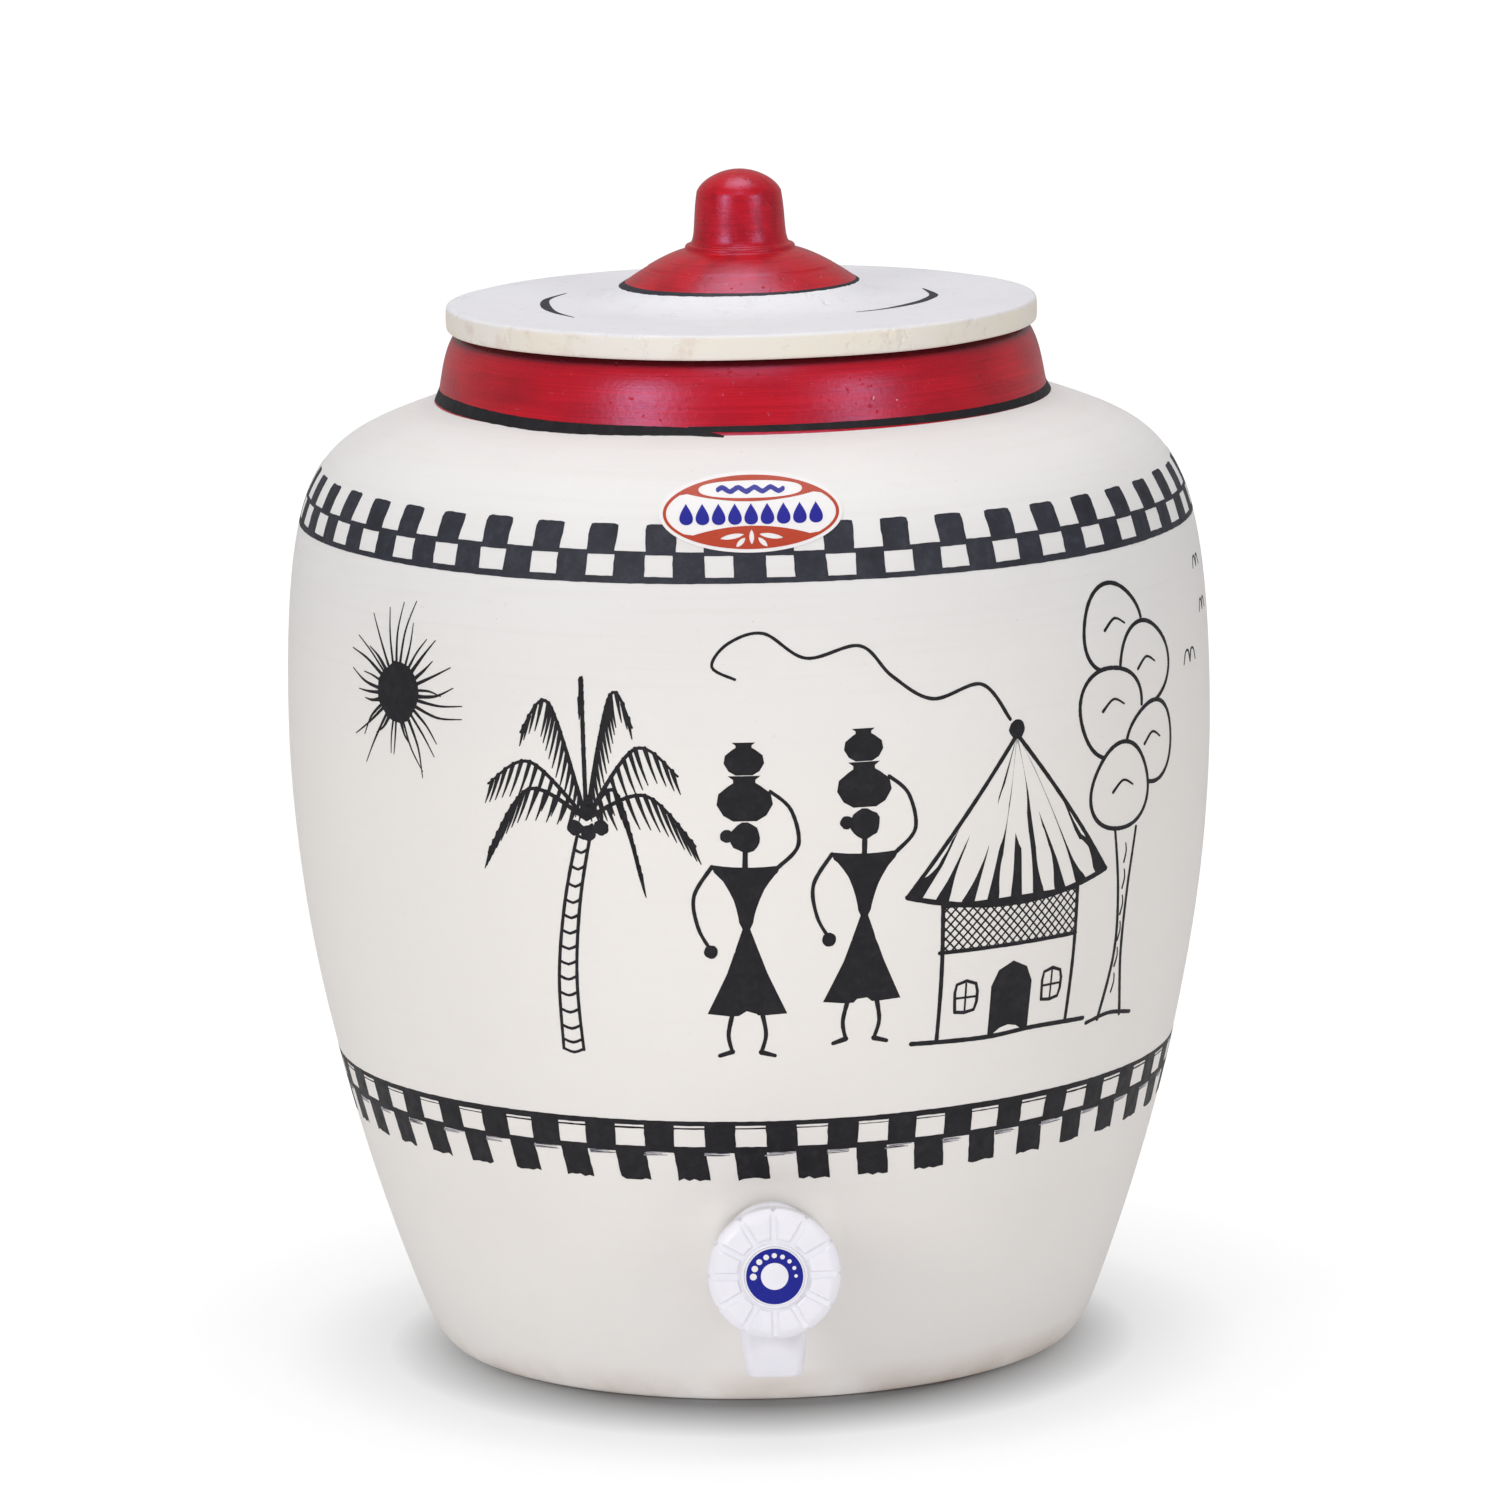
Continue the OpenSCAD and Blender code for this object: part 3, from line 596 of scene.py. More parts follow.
def on_lid(x, y, lift):
    """A point on top of the lid, from its place seen from above."""
    r = hypot(x, y)
    k = min(max(bisect.bisect([point[0] for point in LID_TOP], r), 1), len(LID_TOP) - 1)
    (r0, z0), (r1, z1) = LID_TOP[k - 1], LID_TOP[k]
    z = z0 + (z1 - z0) * min(max((r - r0) / (r1 - r0), 0), 1)
    return lid_place(atan2(x, -y), r, z, lift)


def make_lid():
    top, under = lid_outline()
    outline = top + under
    outline.reverse()
    mesh = lathe("painted_lid", outline, LID_SIDES, lambda turn, r, z, k: lid_place(turn, r, z))
    lid = new_object("painted_lid", mesh, LID_CLAY, RED, RAW)

    def material_of(r, z, k):
        """Bare clay below the edge, then wash, and red paint on the dome and the grip."""
        return 2 if k < len(under) - EDGE_RINGS else int(r < RED_R and z > LID_T)

    paint_rings(mesh, LID_SIDES, outline, material_of)
    dress(lid, "lid_body", "clay", "lid")


# ---- paint
LIFT = 0.08
SINK = -0.3
DRAWING_R = 148.0


def on_belly(u, v, lift):
    """Drawings are laid out flat: millimetres round the belly, and height."""
    return on_wall(u / DRAWING_R, v, lift)


def smooth(points, step):
    """A curve through the points, as points about a step apart."""
    padded = [points[0], *points, points[-1]]
    curve = []
    for four in zip(padded, padded[1:], padded[2:], padded[3:]):
        count = max(2, round(dist(four[1][:2], four[2][:2]) / step))
        for i in range(count):
            t = i / count
            pull = (-t + 2 * t * t - t ** 3, 2 - 5 * t * t + 3 * t ** 3,
                    t + 4 * t * t - 3 * t ** 3, t ** 3 - t * t)
            curve.append(tuple(0.5 * sum(k * value for k, value in zip(pull, row)) for row in zip(*four)))
    return curve + [tuple(points[-1])]


def is_inside(point, loop):
    """Whether a point lies in a closed outline."""
    crossings = 0
    for (u0, v0), (u1, v1) in zip(loop, loop[1:] + loop[:1]):
        if (v0 > point[1]) != (v1 > point[1]) and point[0] < u0 + (point[1] - v0) * (u1 - u0) / (v1 - v0):
            crossings += 1
    return crossings % 2 == 1


def turned_left(loop):
    area = sum(a[0] * b[1] - b[0] * a[1] for a, b in zip(loop, loop[1:] + loop[:1]))
    return loop if area > 0 else loop[::-1]


def turns(count):
    """Angles that divide a circle evenly."""
    return [tau * i / count for i in range(count)]


def oval(u, v, width, height, count):
    return [(u + width / 2 * cos(a), v + height / 2 * sin(a)) for a in turns(count)]


class Paint:
    """Strokes of one paint: thin closed slabs that follow the surface they are laid on."""

    def __init__(self, name, material, surface=on_belly, lift=LIFT, sink=SINK, seed=1):
        self.name, self.material, self.surface, self.lift, self.sink = name, material, surface, lift, sink
        self.hand = random.Random(seed)
        self.points, self.faces = [], []

    def finish(self, body, slot, *nodes):
        mesh = bpy.data.meshes.new(self.name)
        mesh.from_pydata(self.points, [], self.faces)
        mesh.shade_smooth()
        mesh.set_sharp_from_angle(angle=0.7)
        dress(new_object(self.name, mesh, self.material), body, slot, *nodes)

    def slab(self, flat, faces):
        """Gives flat faces a thickness, with walls along their free edges."""
        start, count = len(self.points), len(flat)
        for lift in (self.lift, self.sink):
            self.points += [self.surface(u, v, lift) for u, v in flat]
        self.faces += [[start + k for k in face] for face in faces]
        self.faces += [[start + count + k for k in reversed(face)] for face in faces]
        edges = {pair: True for face in faces for pair in zip(face, face[1:] + face[:1])}
        for a, b in edges:
            if (b, a) not in edges:
                self.faces.append([start + count + a, start + count + b, start + b, start + a])

    def strip(self, left, right):
        n = len(left)
        self.slab(left + right, [[i, n + i, n + i + 1, i + 1] for i in range(n - 1)])

    def loop(self, low, high):
        """A closed band between two rings of points, going round to the left as seen from outside."""
        n = len(low)
        self.slab(low + high, [[i, (i + 1) % n, n + (i + 1) % n, n + i] for i in range(n)])

    def brush(self, points, width, end=None, step=1.3, shake=0.07):
        """One stroke through the points, from one width to another, or of the widths in the points."""
        end = width if end is None else end
        last = len(points) - 1
        marks = [p if len(p) == 3 else (*p, width + (end - width) * i / last) for i, p in enumerate(points)]
        path = smooth(marks, step)
        for _ in range(2):
            (u, v, w), after = path[0], path[1]
            run = dist((u, v), after[:2]) or 1
            ahead = ((after[0] - u) / run, (after[1] - v) / run)
            tip = [(u - ahead[0] * w / 2 * k, v - ahead[1] * w / 2 * k, w * size)
                   for k, size in ((1, 0.25), (0.8, 0.62), (0.4, 0.92))]
            path = (tip + path)[::-1]
        left, right = [], []
        for i, (u, v, w) in enumerate(path):
            a, b = path[max(i - 1, 0)], path[min(i + 1, len(path) - 1)]
            run = dist(a[:2], b[:2]) or 1
            half = w / 2 * self.hand.uniform(1 - shake, 1 + shake) / run
            left.append((u - (b[1] - a[1]) * half, v + (b[0] - a[0]) * half))
            right.append((u + (b[1] - a[1]) * half, v - (b[0] - a[0]) * half))
        self.strip(left, right)

    def fill(self, outline, *holes, grid=4.0):
        """A filled outline, with points spread inside it so that it bends with the surface."""
        loops = [turned_left(list(loop)) for loop in (outline, *holes)]
        points, spans = [], []
        for loop in loops:
            spans.append(list(range(len(points), len(points) + len(loop))))
            points += loop
        low = [min(p[n] for p in outline) for n in (0, 1)]
        high = [max(p[n] for p in outline) for n in (0, 1)]
        for j in range(1, ceil((high[1] - low[1]) / grid)):
            for i in range(ceil((high[0] - low[0]) / grid) + 1):
                spot = (low[0] + (i + 0.25 + 0.5 * (j % 2)) * grid, low[1] + j * grid)
                if is_inside(spot, loops[0]) and not any(is_inside(spot, loop) for loop in loops[1:]):
                    points.append(spot)
        made = delaunay_2d_cdt([Vector(p) for p in points], [], spans, 0, 1e-5, True)
        faces = [list(face) for face, inside in zip(made[2], made[5]) if list(inside) == [0]]
        self.slab([tuple(p) for p in made[0]], faces)

    def dot(self, u, v, r):
        rough = [(a, r * self.hand.uniform(0.94, 1.06)) for a in turns(18)]
        self.fill([(u + reach * cos(a), v + reach * sin(a)) for a, reach in rough])

    def block(self, u, v, width, height, lean=0.0, rough=0.0, soft=0.0, spread=0.0):
        """A four-sided dab of a flat brush. Its foot may be ragged and its top corners rounded."""
        across, up = 6, 5
        flat = []
        for j in range(up + 1):
            for i in range(across + 1):
                s, t = i / across * 2 - 1, j / up * 2 - 1
                at_side, at_end = abs(s) == 1, abs(t) == 1
                spot_u = s * width / 2 * (1 + spread * t) + lean * t * height / 2
                spot_u += at_side * self.hand.uniform(-0.14, 0.14)
                spot_v = t * height / 2 + at_end * self.hand.uniform(-0.1, 0.1)
                if t == -1:
                    spot_v -= self.hand.uniform(0, rough)
                if t == 1 and at_side:
                    spot_u -= s * soft
                    spot_v -= 0.7 * soft
                flat.append((u + spot_u, v + spot_v))
        n = across + 1
        starts = [j * n + i for j in range(up) for i in range(across)]
        self.slab(flat, [[k, k + 1, k + 1 + n, k + n] for k in starts])

    def hoop(self, low, high, sides=480):
        """A line right round the pot, drawn as the pot turned under the brush."""
        rows = ([], [])
        for row, z, phase in ((rows[0], low, 0.0), (rows[1], high, 0.8)):
            for a in turns(sides):
                wave = 0.14 * sin(5 * a + phase + z)
                row.append((a * DRAWING_R, z + wave + self.hand.uniform(-0.07, 0.07)))
        self.loop(*rows)


# ---- what is painted on the pot
UPPER_SQUARES = 48
LOWER_SQUARES = 44


def at_angle(degrees):
    """Distance round the belly of what the camera sees that many degrees right of its middle."""
    return (radians(degrees) - CAMERA_TURN) * DRAWING_R


def on_upper_band(u, v, lift):
    """The upper band was drawn a little lower in front than behind."""
    turn = u / DRAWING_R
    return on_wall(turn, v - 0.4 - 0.69 * sin(turn) - 1.47 * cos(turn), lift)


def on_lower_band(u, v, lift):
    turn = u / DRAWING_R
    return on_wall(turn, v + 1.6 + 0.28 * sin(turn) - 1.43 * cos(turn), lift)


def paint_upper_band(ink):
    """Two lines, a row of squares between them and a row on top that stands between those."""
    hand = ink.hand
    step = tau * DRAWING_R / UPPER_SQUARES
    height = 8.6
    ink.hoop(271.0, 272.9)
    ink.hoop(279.3, 280.6)
    for i in range(UPPER_SQUARES):
        u = at_angle(-3.32) + i * step
        lean = hand.uniform(-0.06, 0.05)
        ink.block(u + step / 2, 276, step * hand.uniform(0.49, 0.54), height, hand.uniform(-0.05, 0.05))
        at = (u + hand.uniform(-0.3, 0.3), 284.4 + hand.uniform(-0.3, 0.3))
        ink.block(*at, step * hand.uniform(0.49, 0.53), height, lean, soft=0.4, spread=0.04)


def paint_lower_band(ink, dry):
    """Like the upper band, but upside down, ragged, and with marks of a dry brush."""
    hand = ink.hand
    step = tau * DRAWING_R / LOWER_SQUARES
    ink.hoop(96.4, 98.1)
    ink.hoop(95.3, 95.7)
    ink.hoop(87.5, 89.3)
    for i in range(LOWER_SQUARES):
        u = at_angle(-0.9) + i * step
        ink.block(u + step / 2, 92.8, step * hand.uniform(0.48, 0.54), 8.2, hand.uniform(-0.05, 0.05))
        ink.block(u + 0.3, 83.4, step * hand.uniform(0.48, 0.54), 9.2, -0.12, rough=1.0)
        for k in range(3):
            start = u + step * hand.uniform(0.22, 0.3)
            v = 87.3 - 0.42 * k + hand.uniform(-0.15, 0.15)
            end = (start + hand.uniform(6, 9.5), v + hand.uniform(-0.15, 0.15))
            dry.brush([(start, v), end], hand.uniform(0.25, 0.5), 0.15)


def paint_sun(ink, u, v):
    hand = ink.hand
    rays = 31
    ink.dot(u, v, 9.6)
    for i in range(rays):
        angle = tau * (i + hand.uniform(-0.3, 0.3)) / rays
        bend = hand.uniform(-0.22, 0.22)
        length = hand.choice((8, 10, 13, 16, 18, 21)) * hand.uniform(0.9, 1.1)
        reach = ((9.0, 0.0), (9.6 + length * 0.5, bend * 0.35), (9.6 + length, bend))
        ink.brush([(u + r * cos(angle + a), v + r * sin(angle + a)) for r, a in reach],
                  hand.uniform(0.8, 1.5), 0.3)


def paint_bird(ink, u, v, size):
    wing = ((0, -0.3), (0.25, 0.28), (0.7, 0.24), (1, -0.34))
    for side in (-1, 1):
        ink.brush([(u + side * size * a, v + size * b) for a, b in wing], 0.9, 0.6)


def paint_palm(ink):
    trunk = smooth([(-65, 121), (-64.5, 145), (-61, 170), (-55.5, 194)], 4.6)
    trunk = [(u, v, 3.6 - 1.7 * k / len(trunk)) for k, (u, v) in enumerate(trunk)]
    for u, v, half in trunk:
        ink.brush([(u - half, v), (u, v - 1.1), (u + half, v + 0.2)], 0.9)
    for side in (-1, 1):
        ink.brush([(u + side * half, v) for u, v, half in trunk], 1.1)
    crown = (-55.2, 196)
    tips = ((-90, 183), (-89, 205), (-77, 222), (-57, 229), (-40, 225), (-26, 210), (-21, 188), (-38, 177))
    for tip in tips:
        over = (crown[0] * 0.45 + tip[0] * 0.55, max(crown[1], tip[1]) + 7 + 0.1 * abs(tip[1] - crown[1]))
        spine = smooth([crown, over, tip], 3.0)
        lean = 0.35 * (tip[0] - crown[0]) / 30
        ink.brush([crown, over, tip], 1.5, 0.7)
        for k, (u, v) in enumerate(spine[2:-1]):
            hang = 9.5 * sin(pi * (k + 2) / (len(spine) + 1)) + 2
            middle = (u + lean * hang * 0.5, v - hang * 0.55)
            ink.brush([(u, v), middle, (u + lean * hang, v - hang)], 1.5, 0.3)
    for du, dv in ((-4, -3), (0.5, -4.5), (4.6, -2.6)):
        ink.dot(crown[0] + du, crown[1] + dv, 2.5)


def paint_woman(ink, u, v):
    """A carrier of water made of two triangles, with two pots on the head."""
    def at(*spots):
        return [(u + a, v + b) for a, b in spots]

    skirt = at((-13, 13), (-6, 12.2), (6, 12.4), (12.5, 12.8), (6.4, 26), (1.0, 41), (-1.0, 41), (-6.4, 26))
    ink.fill(skirt)
    chest = at((-1.0, 40), (1.0, 40), (11, 60.5), (-10.6, 61))
    ink.fill(chest)
    ink.brush(at((0, 60), (0.2, 66)), 1.7)
    head, bun, hand = at((0.3, 69.6), (-5.4, 70.2), (-11.2, 33.2))
    ink.dot(*head, 4.7)
    ink.dot(*bun, 2.1)
    legs = (((-5, 13), (-6.5, 6), (-5.4, 0.5), (-9.6, -0.8)), ((4.5, 13), (5.6, 6), (4, 0.2), (8.4, -1)))
    for hip, knee, heel, toe in legs:
        ink.brush(at(hip, knee, heel), 1.5, 1.2)
        ink.brush(at(heel, toe), 1.7, 1.2)
    raised_arm = at((10.4, 60.2), (16.5, 67), (14.4, 78), (8.2, 84))
    hanging_arm = at((-10.2, 60.5), (-16, 51), (-15, 41), (-11.4, 34))
    ink.brush(raised_arm, 1.3, 1.1)
    ink.brush(hanging_arm, 1.3, 1.1)
    ink.dot(*hand, 2.2)
    half_jar = [(3.6, 0), (6.6, 1.8), (8.6, 5.2), (8, 8.6), (5, 11), (3.4, 12), (3.4, 13), (5, 14.2)]
    jar = [(-3.6, 0)] + half_jar + [(-a, b) for a, b in half_jar[:0:-1]]
    for low, size in ((74.8, 1.0), (89.2, 0.72)):
        ink.fill(at(*[(0.3 + a * size, low + b * size) for a, b in jar]))


def paint_hut(ink):
    """A hut with a net of crossed lines under its eaves, a thatched roof and smoke."""
    left, right, floor, eaves = 57, 109, 121, 166
    net_low, net_high, net_step = 150, 165, 3.1
    ink.brush([(left - 9, floor), (75, floor - 0.6), (95, floor + 0.3), (right + 9, floor - 0.4)], 1.5)
    for u in (left, right):
        ink.brush([(u, floor), (u + 0.4, 143), (u, eaves)], 1.4)
    ink.brush([(left - 0.6, net_low), (right + 0.6, net_low)], 1.3)
    ink.brush([(left, net_high), (right, net_high)], 1.3)
    for k in range(-5, 19):
        for lean in (-1, 1):
            start = left + net_step * k
            low, high = max(left, start), min(right, start + net_high - net_low)
            if high - low > 1:
                foot = net_low if lean > 0 else net_high
                ink.brush([(u, foot + lean * (u - start)) for u in (low, high)], 0.55, step=4)
    arch = [(76, floor), (92, floor), (92, 137), (89.5, 142), (84, 144.5), (78.5, 142), (76, 137)]
    ink.fill(arch)
    for u in (66.5, 100.5):
        window = [(u - 3.6, 130), (u - 3.4, 139), (u + 3.6, 138.7), (u + 3.4, 130.2), (u - 3.6, 130)]
        ink.brush(window, 1.1, step=3)
        ink.brush([(u, 130), (u, 139)], 0.7)
        ink.brush([(u - 3.6, 134.5), (u + 3.6, 134.5)], 0.7)
    apex, wedges = (83.5, 217), 17
    rim = [(45 + 77 * i / wedges, 163.5 + 5.5 * abs(2 * i / wedges - 1) ** 2) for i in range(wedges + 1)]
    for i in range(0, wedges, 2):
        ink.fill([apex, rim[i], rim[i + 1]], grid=5)
    ink.brush([apex, rim[0]], 1.4)
    ink.brush([apex, rim[-1]], 1.4)
    ink.brush(rim, 1.7)
    ink.dot(apex[0], apex[1] + 1.6, 3.0)
    smoke = [(81, 222), (71, 234), (54, 231), (41, 239), (31, 249), (14, 246), (1, 254),
             (-10, 251), (-15, 244), (-8, 240)]
    ink.brush(smoke, 1.2, 0.9)


def paint_tree(ink):
    """A tree with a crown of round outlines, each one in front of the next."""
    hand = ink.hand
    ink.brush([(126, 119), (130.5, 140), (129.5, 160), (126, 181)], 1.5, 1.1)
    ink.brush([(139, 118.6), (134.5, 139), (134.5, 160), (137.5, 180)], 1.5, 1.1)
    ink.brush([(120, 118.6), (132, 120), (146, 118)], 1.3)
    for k in range(6):
        v = 127 + 8.5 * k
        ink.brush([(131.6, v), (132.6, v + 3.4), (132.1, v + 6)], 0.8, 0.5)
    crowns = ((129, 194, 15), (146, 206, 14), (124.5, 219, 15.5), (143.5, 231, 15), (127, 245, 15))
    done = []
    for u, v, r in crowns:
        phase = hand.uniform(0, 6)
        ring = []
        for a in turns(60) + [tau]:
            reach = r * (1 + 0.05 * sin(3 * a + phase))
            ring.append((u + reach * cos(a), v + 0.92 * reach * sin(a)))
        run = []
        for spot in ring + [None]:
            if spot and not any(is_inside(spot, other) for other in done):
                run.append(spot)
                continue
            if len(run) > 2:
                ink.brush(run, 1.4, step=3)
            run = []
        done.append(ring[:-1])
        bend = hand.uniform(-1.5, 1.5)
        crease = [(u - r * 0.3, v + bend), (u + r * 0.05, v + 3.2 + bend), (u + r * 0.4, v + 1 + bend)]
        ink.brush(crease, 1.1, 0.6)


def paint_neck_line(ink):
    """One stroke right round the foot of the neck, as angle, height and width."""
    marks = ((-10, 310.9, 1.5), (0, 310.9, 1.9), (16, 310.8, 2.1), (53, 310.4, 2.5), (90, 310.4, 2.6),
             (140, 310.4, 2.4), (190, 310.9, 2.8), (235, 310.8, 2.6), (270, 311.2, 3.4), (292, 311.3, 3.8),
             (322, 310.2, 3.2), (347, 310.3, 2.6), (353, 309.6, 1.6), (356.4, 308.8, 0.5))
    ink.brush([(at_angle(turn), v, width) for turn, v, width in marks], 1, step=2.4, shake=0.04)


def paint_pot():
    upper = Paint("upper_band", SLATE, on_upper_band, seed=11)
    paint_upper_band(upper)
    lower = Paint("lower_band", BLACK, on_lower_band, seed=12)
    dry = Paint("dry_brush_marks", DRY, on_lower_band, lift=0.1, seed=3)
    paint_lower_band(lower, dry)
    neck = Paint("neck_line", BLACK, seed=9)
    paint_neck_line(neck)
    sky = Paint("painted_sun_and_birds", BLACK, seed=5)
    paint_sun(sky, at_angle(-47.5), 230)
    for turn, v, size in ((77.7, 256.4, 5.2), (79, 242, 5.4), (70.6, 228.6, 6.2)):
        paint_bird(sky, at_angle(turn), v, size)
    village = Paint("painted_village", BLACK, seed=8)
    paint_palm(village)
    paint_woman(village, -6, 121)
    paint_woman(village, 31, 124)
    paint_hut(village)
    paint_tree(village)
    for painting in (upper, lower, dry, neck, sky, village):
        painting.finish("pot_body", "clay")


def paint_lid():
    """Two strokes, as angle, radius and width, and a line round the foot of the red dome."""
    ink = Paint("lid_strokes", SLATE, on_lid, seed=4)
    left = ((-113, 62, 0.4), (-96, 63.4, 2.2), (-79, 64.4, 3.3), (-65, 66, 2), (-52, 67.8, 0.4))
    right = ((41, 56, 0.4), (54, 57.8, 1.6), (68, 59.5, 3), (79, 61.2, 3), (91, 62.7, 2.8), (107, 62.3, 0.4))
    for stroke in (left, right):
        marks = [(radians(turn) - CAMERA_TURN, r, width) for turn, r, width in stroke]
        ink.brush([(r * sin(a), -r * cos(a), width) for a, r, width in marks], 1, shake=0.04)
    rows = ([], [])
    for turn in turns(240):
        thick = 1.5 - 0.5 * sin(turn) - 0.3 * cos(turn) + ink.hand.uniform(-0.1, 0.1)
        for row, r in zip(rows, (RED_R - 0.3 + thick, RED_R - 0.3)):
            row.append((r * sin(turn), -r * cos(turn)))
    ink.loop(*rows)
    ink.finish("lid_body", "clay")


# ---- label
LABEL_TURN = radians(-0.7)
LABEL_Z = 289.5


def on_label(u, v, lift):
    z = LABEL_Z + v
    return on_wall(LABEL_TURN + asin(u / wall_radius(z)), z, lift)


def leaf(u, v, length, width, angle):
    """A pointed oval."""
    across, up = cos(angle), sin(angle)
    spots = []
    for a in turns(24):
        s, t = length / 2 * cos(a), width / 2 * sin(a) * abs(sin(a)) ** 0.6
        spots.append((u + s * across - t * up, v + s * up + t * across))
    return spots


def drop(u, v, size):
    """A drop of water with its point up."""
    return [(u + size * 0.5 * sin(a) * sin(a / 2) ** 1.4, v + size * 0.5 * cos(a))
            for a in turns(28)]


def bulged(value):
    """A cosine or sine for an oval with fuller corners."""
    return copysign(abs(value) ** 0.8, value)


def make_label():
    """An oval sticker in rust, with a window, a plate, leaves, a ripple and drops of water."""
    base = Paint("label", STICKER_WHITE, on_label, lift=0.4)
    base.fill(oval(0, 0, 56.6, 22.2, 96), grid=2.5)
    base.finish("pot_body", "label", "front_label")
    window = [p for p in oval(0, 0, 52.4, 18.6, 96) if -5.9 < p[1] < 5.4]
    right = sorted((p for p in window if p[0] > 0), key=lambda p: p[1])
    left = sorted((p for p in window if p[0] < 0), key=lambda p: -p[1])
    top = [(19.5 - 39 * i / 16, 3.4 + 2.1 * (1 - i / 8) ** 2) for i in range(17)]
    bottom = [(-18 + 36 * i / 16, -3.4 - 2.6 * (1 - i / 8) ** 2) for i in range(17)]
    window = bottom + right + top + left
    plate = [(16 * bulged(cos(a + pi / 48)), 6.5 + 2.3 * bulged(sin(a + pi / 48)))
             for a in turns(48)]
    sprigs = [leaf(u, v, length, 1.5, angle) for u, v, length, angle in
              ((0, -6.6, 4.2, pi / 2), (-6, -6.4, 7.4, 0.16), (6, -6.4, 7.4, -0.16),
               (-3.4, -8.1, 3.8, 0.75), (3.4, -8.1, 3.8, -0.75))]
    rust = Paint("label_rust_print", STICKER_RUST, on_label, lift=0.5, sink=0.3)
    rust.fill(oval(0, 0, 54.3, 20.2, 96), window, plate, *sprigs, grid=2.5)
    rust.finish("pot_body", "label")
    blue = Paint("label_blue_print", STICKER_BLUE, on_label, lift=0.5, sink=0.3)
    ripple = [(1.25 * k, 6.5 + 0.55 * sin(pi * k / 2)) for k in range(-8, 9)]
    blue.brush(ripple, 1.25, step=0.6)
    for k in range(-4, 5):
        blue.fill(drop(5.0 * k, -0.1, 5.9), grid=2.5)
    blue.finish("pot_body", "label")


# ---- knob
KNOB_R = 20.75
CAP_FRONT = 172.198
PETALS = 12
CHANNEL = 1.4
RIBS = 6
RIB_SIZE = (1.2, 6.2, 12.5)
RIB_R = 12.55
RIB_MIDDLE = 6.1
RIB_TURN = radians(15)
DOTS = 9
DOT_RING_R = 6.6
CHANNEL_OFFSETS = (0, 0.5, 0.85, 1.0, 1.15, 1.35, 1.75)
PETAL_STEPS = 5
SECTOR = 2 * (len(CHANNEL_OFFSETS) + PETAL_STEPS - 1)


def sector_angles(r):
    """Angles of one sector's points, from its channel's middle to the next one's, at a radius."""
    start = [asin(offset / max(r, 11.5)) for offset in CHANNEL_OFFSETS]
    middle = pi / PETALS
    start += [start[-1] + (middle - start[-1]) * k / PETAL_STEPS for k in range(1, PETAL_STEPS)]
    return start + [middle] + [2 * middle - a for a in start[:0:-1]]


def knob_outline():
    """Radius and distance behind the cap's front, from the screw's hole round the rim to the boss."""
    socket = [(3.45, 9.4), (3.45, 4.6), (1.55, 4.5), (1.55, 3.1), (1.7, 3.0), (5.0, 3.0), (5.0, 1.5),
              (9.35, 1.45), (9.4, 0.15)]
    hub = [(9.55, 0), (10.0, 0.02), (10.2, 0.3), (10.3, CHANNEL), (11.4, CHANNEL)]
    petal = [(11.6, 0.75), (11.85, 0.56), (12.4, 0.5), (14, 0.45), (16, 0.45), (17.3, 0.5), (17.9, 0.62),
             (18.5, 0.95), (19.2, 1.4), (19.9, 1.9), (20.4, 2.35), (20.68, 2.85), (KNOB_R, 3.4)]
    rim = [(20.45, 6), (20.15, 8.6), (19.95, 10.2), (19.75, 10.75), (19.4, 11.0)]
    inside = [(18.4, 11), (18.2, 10.8), (18.35, 3.2), (18.1, 3.0), (7.0, 3.0), (6.8, 3.2), (6.8, 9.3),
              (6.7, 9.4)]
    return socket, hub, petal, rim, inside


def make_knob():
    socket, hub, petal, rim, inside = knob_outline()
    outline = socket + hub + petal + rim + inside
    first_petal, first_inside = len(socket) + len(hub), len(outline) - len(inside)
    sides = PETALS * SECTOR

    def place(turn, r, t, k):
        sector, step = divmod(round(turn / tau * sides), SECTOR)
        angle = sector_angles(r)[step]
        if first_petal <= k < first_inside:
            away = r * sin(min(angle, tau / PETALS - angle))
            if k < first_inside - len(rim):
                t = max(t, CHANNEL - (CHANNEL - 0.5) * ease(away, 0.8, 1.4))
            r = min(r, KNOB_R - 0.95 + max(away, 0.12))
        angle += sector * tau / PETALS
        return Vector((r * sin(angle), t - CAP_FRONT, TAP_Z + r * cos(angle))) * MM

    mesh = lathe("knob_moulding", outline, sides, place)
    work = bmesh.new()
    work.from_mesh(mesh)
    middle = Matrix.Translation(Vector((0, RIB_MIDDLE - CAP_FRONT, TAP_Z)) * MM)
    size = Matrix.Diagonal((*(Vector(RIB_SIZE) * MM), 1))
    for turn in turns(RIBS):
        rib = bmesh.ops.create_cube(work, size=1)["verts"]
        turned = Matrix.Rotation(turn - RIB_TURN, 4, "Y") @ Matrix.Translation((0, 0, RIB_R * MM))
        bmesh.ops.transform(work, verts=rib, matrix=middle @ turned @ size)
    bmesh.ops.recalc_face_normals(work, faces=work.faces)
    work.to_mesh(mesh)
    work.free()
    mesh.set_sharp_from_angle(angle=0.6)
    dress(new_object("knob_moulding", mesh, WHITE_PLASTIC), "handle_body", "white_plastic", "knob")


def on_cap(u, v, lift):
    return Vector((u, -CAP_FRONT - lift, TAP_Z + v)) * MM


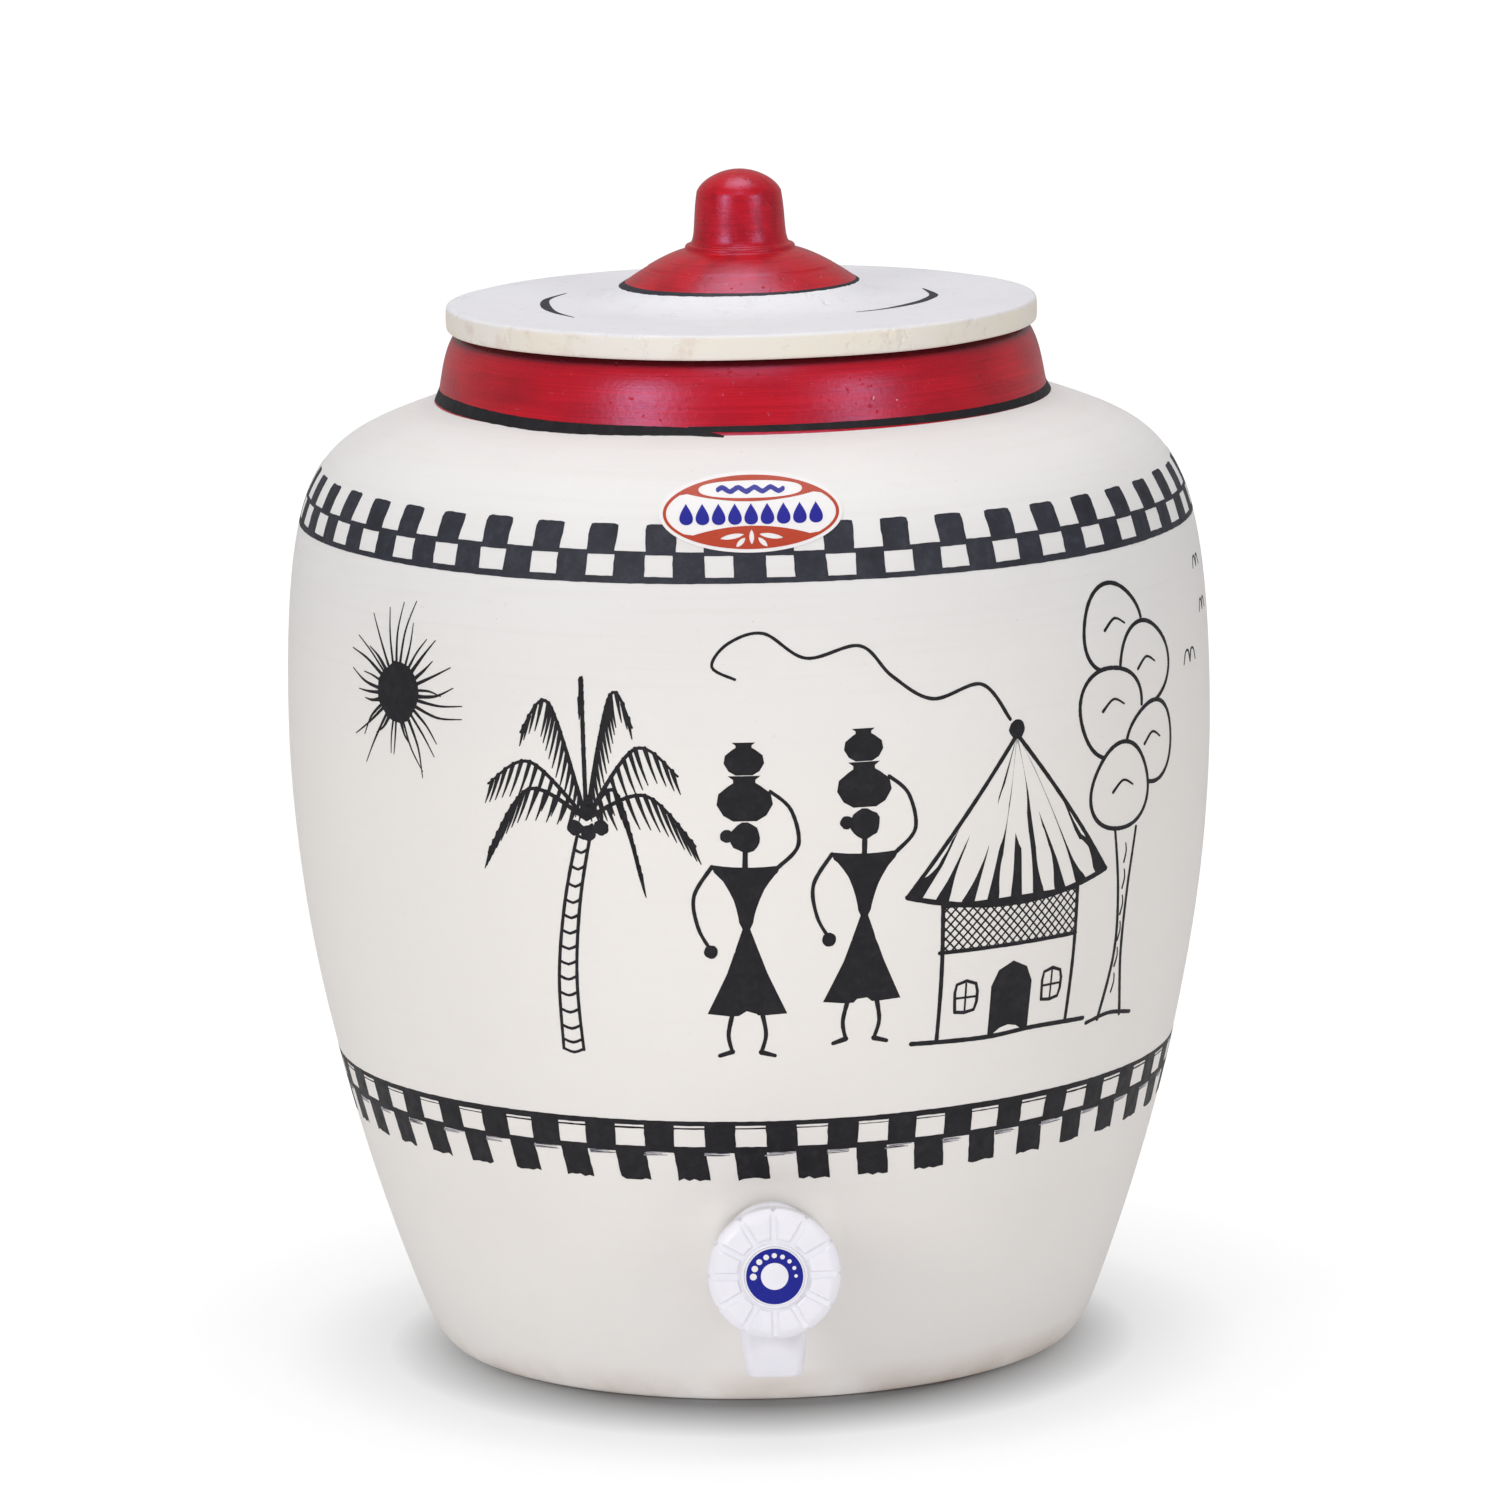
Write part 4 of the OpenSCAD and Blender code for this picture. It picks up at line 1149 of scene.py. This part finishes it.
def make_cap_dots():
    """Dots on the cap's ring that grow the way the tap opens."""
    dots = Paint("cap_dots", STICKER_WHITE, on_cap, lift=0.03, sink=-0.2, seed=2)
    for k in range(DOTS):
        turn = pi * k / (DOTS - 1)
        size = 1.1 + 0.13 * k
        dots.fill(oval(DOT_RING_R * cos(turn), DOT_RING_R * sin(turn), size, size, 24))
    dots.finish("handle_body", "white_plastic")


# ---- floor, light and world
# How much whiter the camera sees the floor, by distance from the pot in metres; near the pot it stays dark,
# a painted shadow.
PAINTED_SHADOW_GLOW = ((0.0895, 0.131, 0.61), (0.131, 0.17, 0.13), (0.17, 0.25, 0.06), (0.25, 1.5, 0.12))
PAINTED_SHADOW_STRETCH_X = 1.07
PAINTED_SHADOW_SHIFT_Y = 0.02
FLOOR_SIZE = 40
WORLD_LEVEL = 0.37
LAMPS = (("left_lamp", (-1.75, -2.1, 1.1), 0.8, 24),
         ("right_lamp", (1.85, -2.0, 1.05), 0.8, 15),
         ("top_lamp", (0, 0.2, 2.3), 1.3, 19),
         ("front_lamp", (0, -1.5, 2.0), 1.0, 6))
LAMP_AIM = Vector((0, 0, 0.2))


def make_stage():
    """A pale floor. The camera sees it darker, with a glow that grows to white away from the pot, which
    leaves a painted shadow round the pot.
    """
    floor = Finish("floor", (247, 247, 248), 0.9)
    x, y, _ = floor.split()
    away = floor.distance(floor.math("MULTIPLY", x, PAINTED_SHADOW_STRETCH_X), floor.math("ADD", y, PAINTED_SHADOW_SHIFT_Y))
    seen = floor.node("ShaderNodeLightPath").outputs["Is Camera Ray"]
    # Painted shadow: the camera sees the floor tinted darker, and the glow lifts it back to white only away
    # from the pot.
    floor.tint((134, 134, 135), seen)
    glow = 0.0
    for start, end, rise in PAINTED_SHADOW_GLOW:
        glow = floor.math("ADD", floor.between(away, start, end, 0.0, rise), glow)
    lamp = floor.node("ShaderNodeEmission")
    floor.link(floor.math("MULTIPLY", seen, glow), lamp.inputs["Strength"])
    both = floor.node("ShaderNodeAddShader")
    floor.link(floor.shader.outputs[0], both.inputs[0])
    floor.link(lamp.outputs[0], both.inputs[1])
    floor.link(both.outputs[0], floor.tree.nodes["Material Output"].inputs["Surface"])
    bpy.ops.mesh.primitive_plane_add(size=FLOOR_SIZE)
    plane = bpy.context.object
    plane.name = "floor"
    plane.data.materials.append(floor.material)


def make_lamp(name, place, size, power):
    data = bpy.data.lights.new(name, "AREA")
    data.shape = "DISK"
    data.size = size
    data.energy = power
    lamp = bpy.data.objects.new(name, data)
    bpy.context.scene.collection.objects.link(lamp)
    lamp.location = place
    lamp.rotation_euler = (LAMP_AIM - Vector(place)).to_track_quat("-Z", "Y").to_euler()


def make_world():
    """Dim all round for the light on the object, and white where the camera sees it."""
    world = bpy.data.worlds.new("studio")
    bpy.context.scene.world = world
    world.use_nodes = True
    tree = world.node_tree
    seen = tree.nodes.new("ShaderNodeLightPath").outputs["Is Camera Ray"]
    level = tree.nodes.new("ShaderNodeMapRange")
    level.inputs["To Min"].default_value = WORLD_LEVEL
    level.inputs["To Max"].default_value = 1.0
    tree.links.new(seen, level.inputs["Value"])
    tree.links.new(level.outputs[0], tree.nodes["Background"].inputs["Strength"])
    tree.nodes["Background"].inputs["Color"].default_value = (1, 1, 1, 1)


# ---- the small solids that stay
NODE_FINISHES = (
    (WHITE_PLASTIC, ("tap_body", "lock_nut", "knob_cap")),
    (INNER_PLASTIC, ("back_washer", "bonnet", "spindle", "jumper")),
    (RUBBER, ("outer_gasket", "inner_gasket", "bonnet_seal", "gland_ring", "valve_washer")),
    (BRASS, ("washer_screw",)),
    (STEEL, ("knob_screw",)),
    (BLUE_FOIL, ("index_ring",)),
)


def finish_nodes():
    for material, names in NODE_FINISHES:
        for name in names:
            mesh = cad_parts[name].data
            mesh.materials.clear()
            mesh.materials.append(material)


make_camera()
make_pot()
make_lid()
paint_pot()
paint_lid()
make_label()
make_knob()
make_cap_dots()
finish_nodes()
make_stage()
for lamp in LAMPS:
    make_lamp(*lamp)
make_world()
bpy.context.scene.view_settings.view_transform = "Standard"
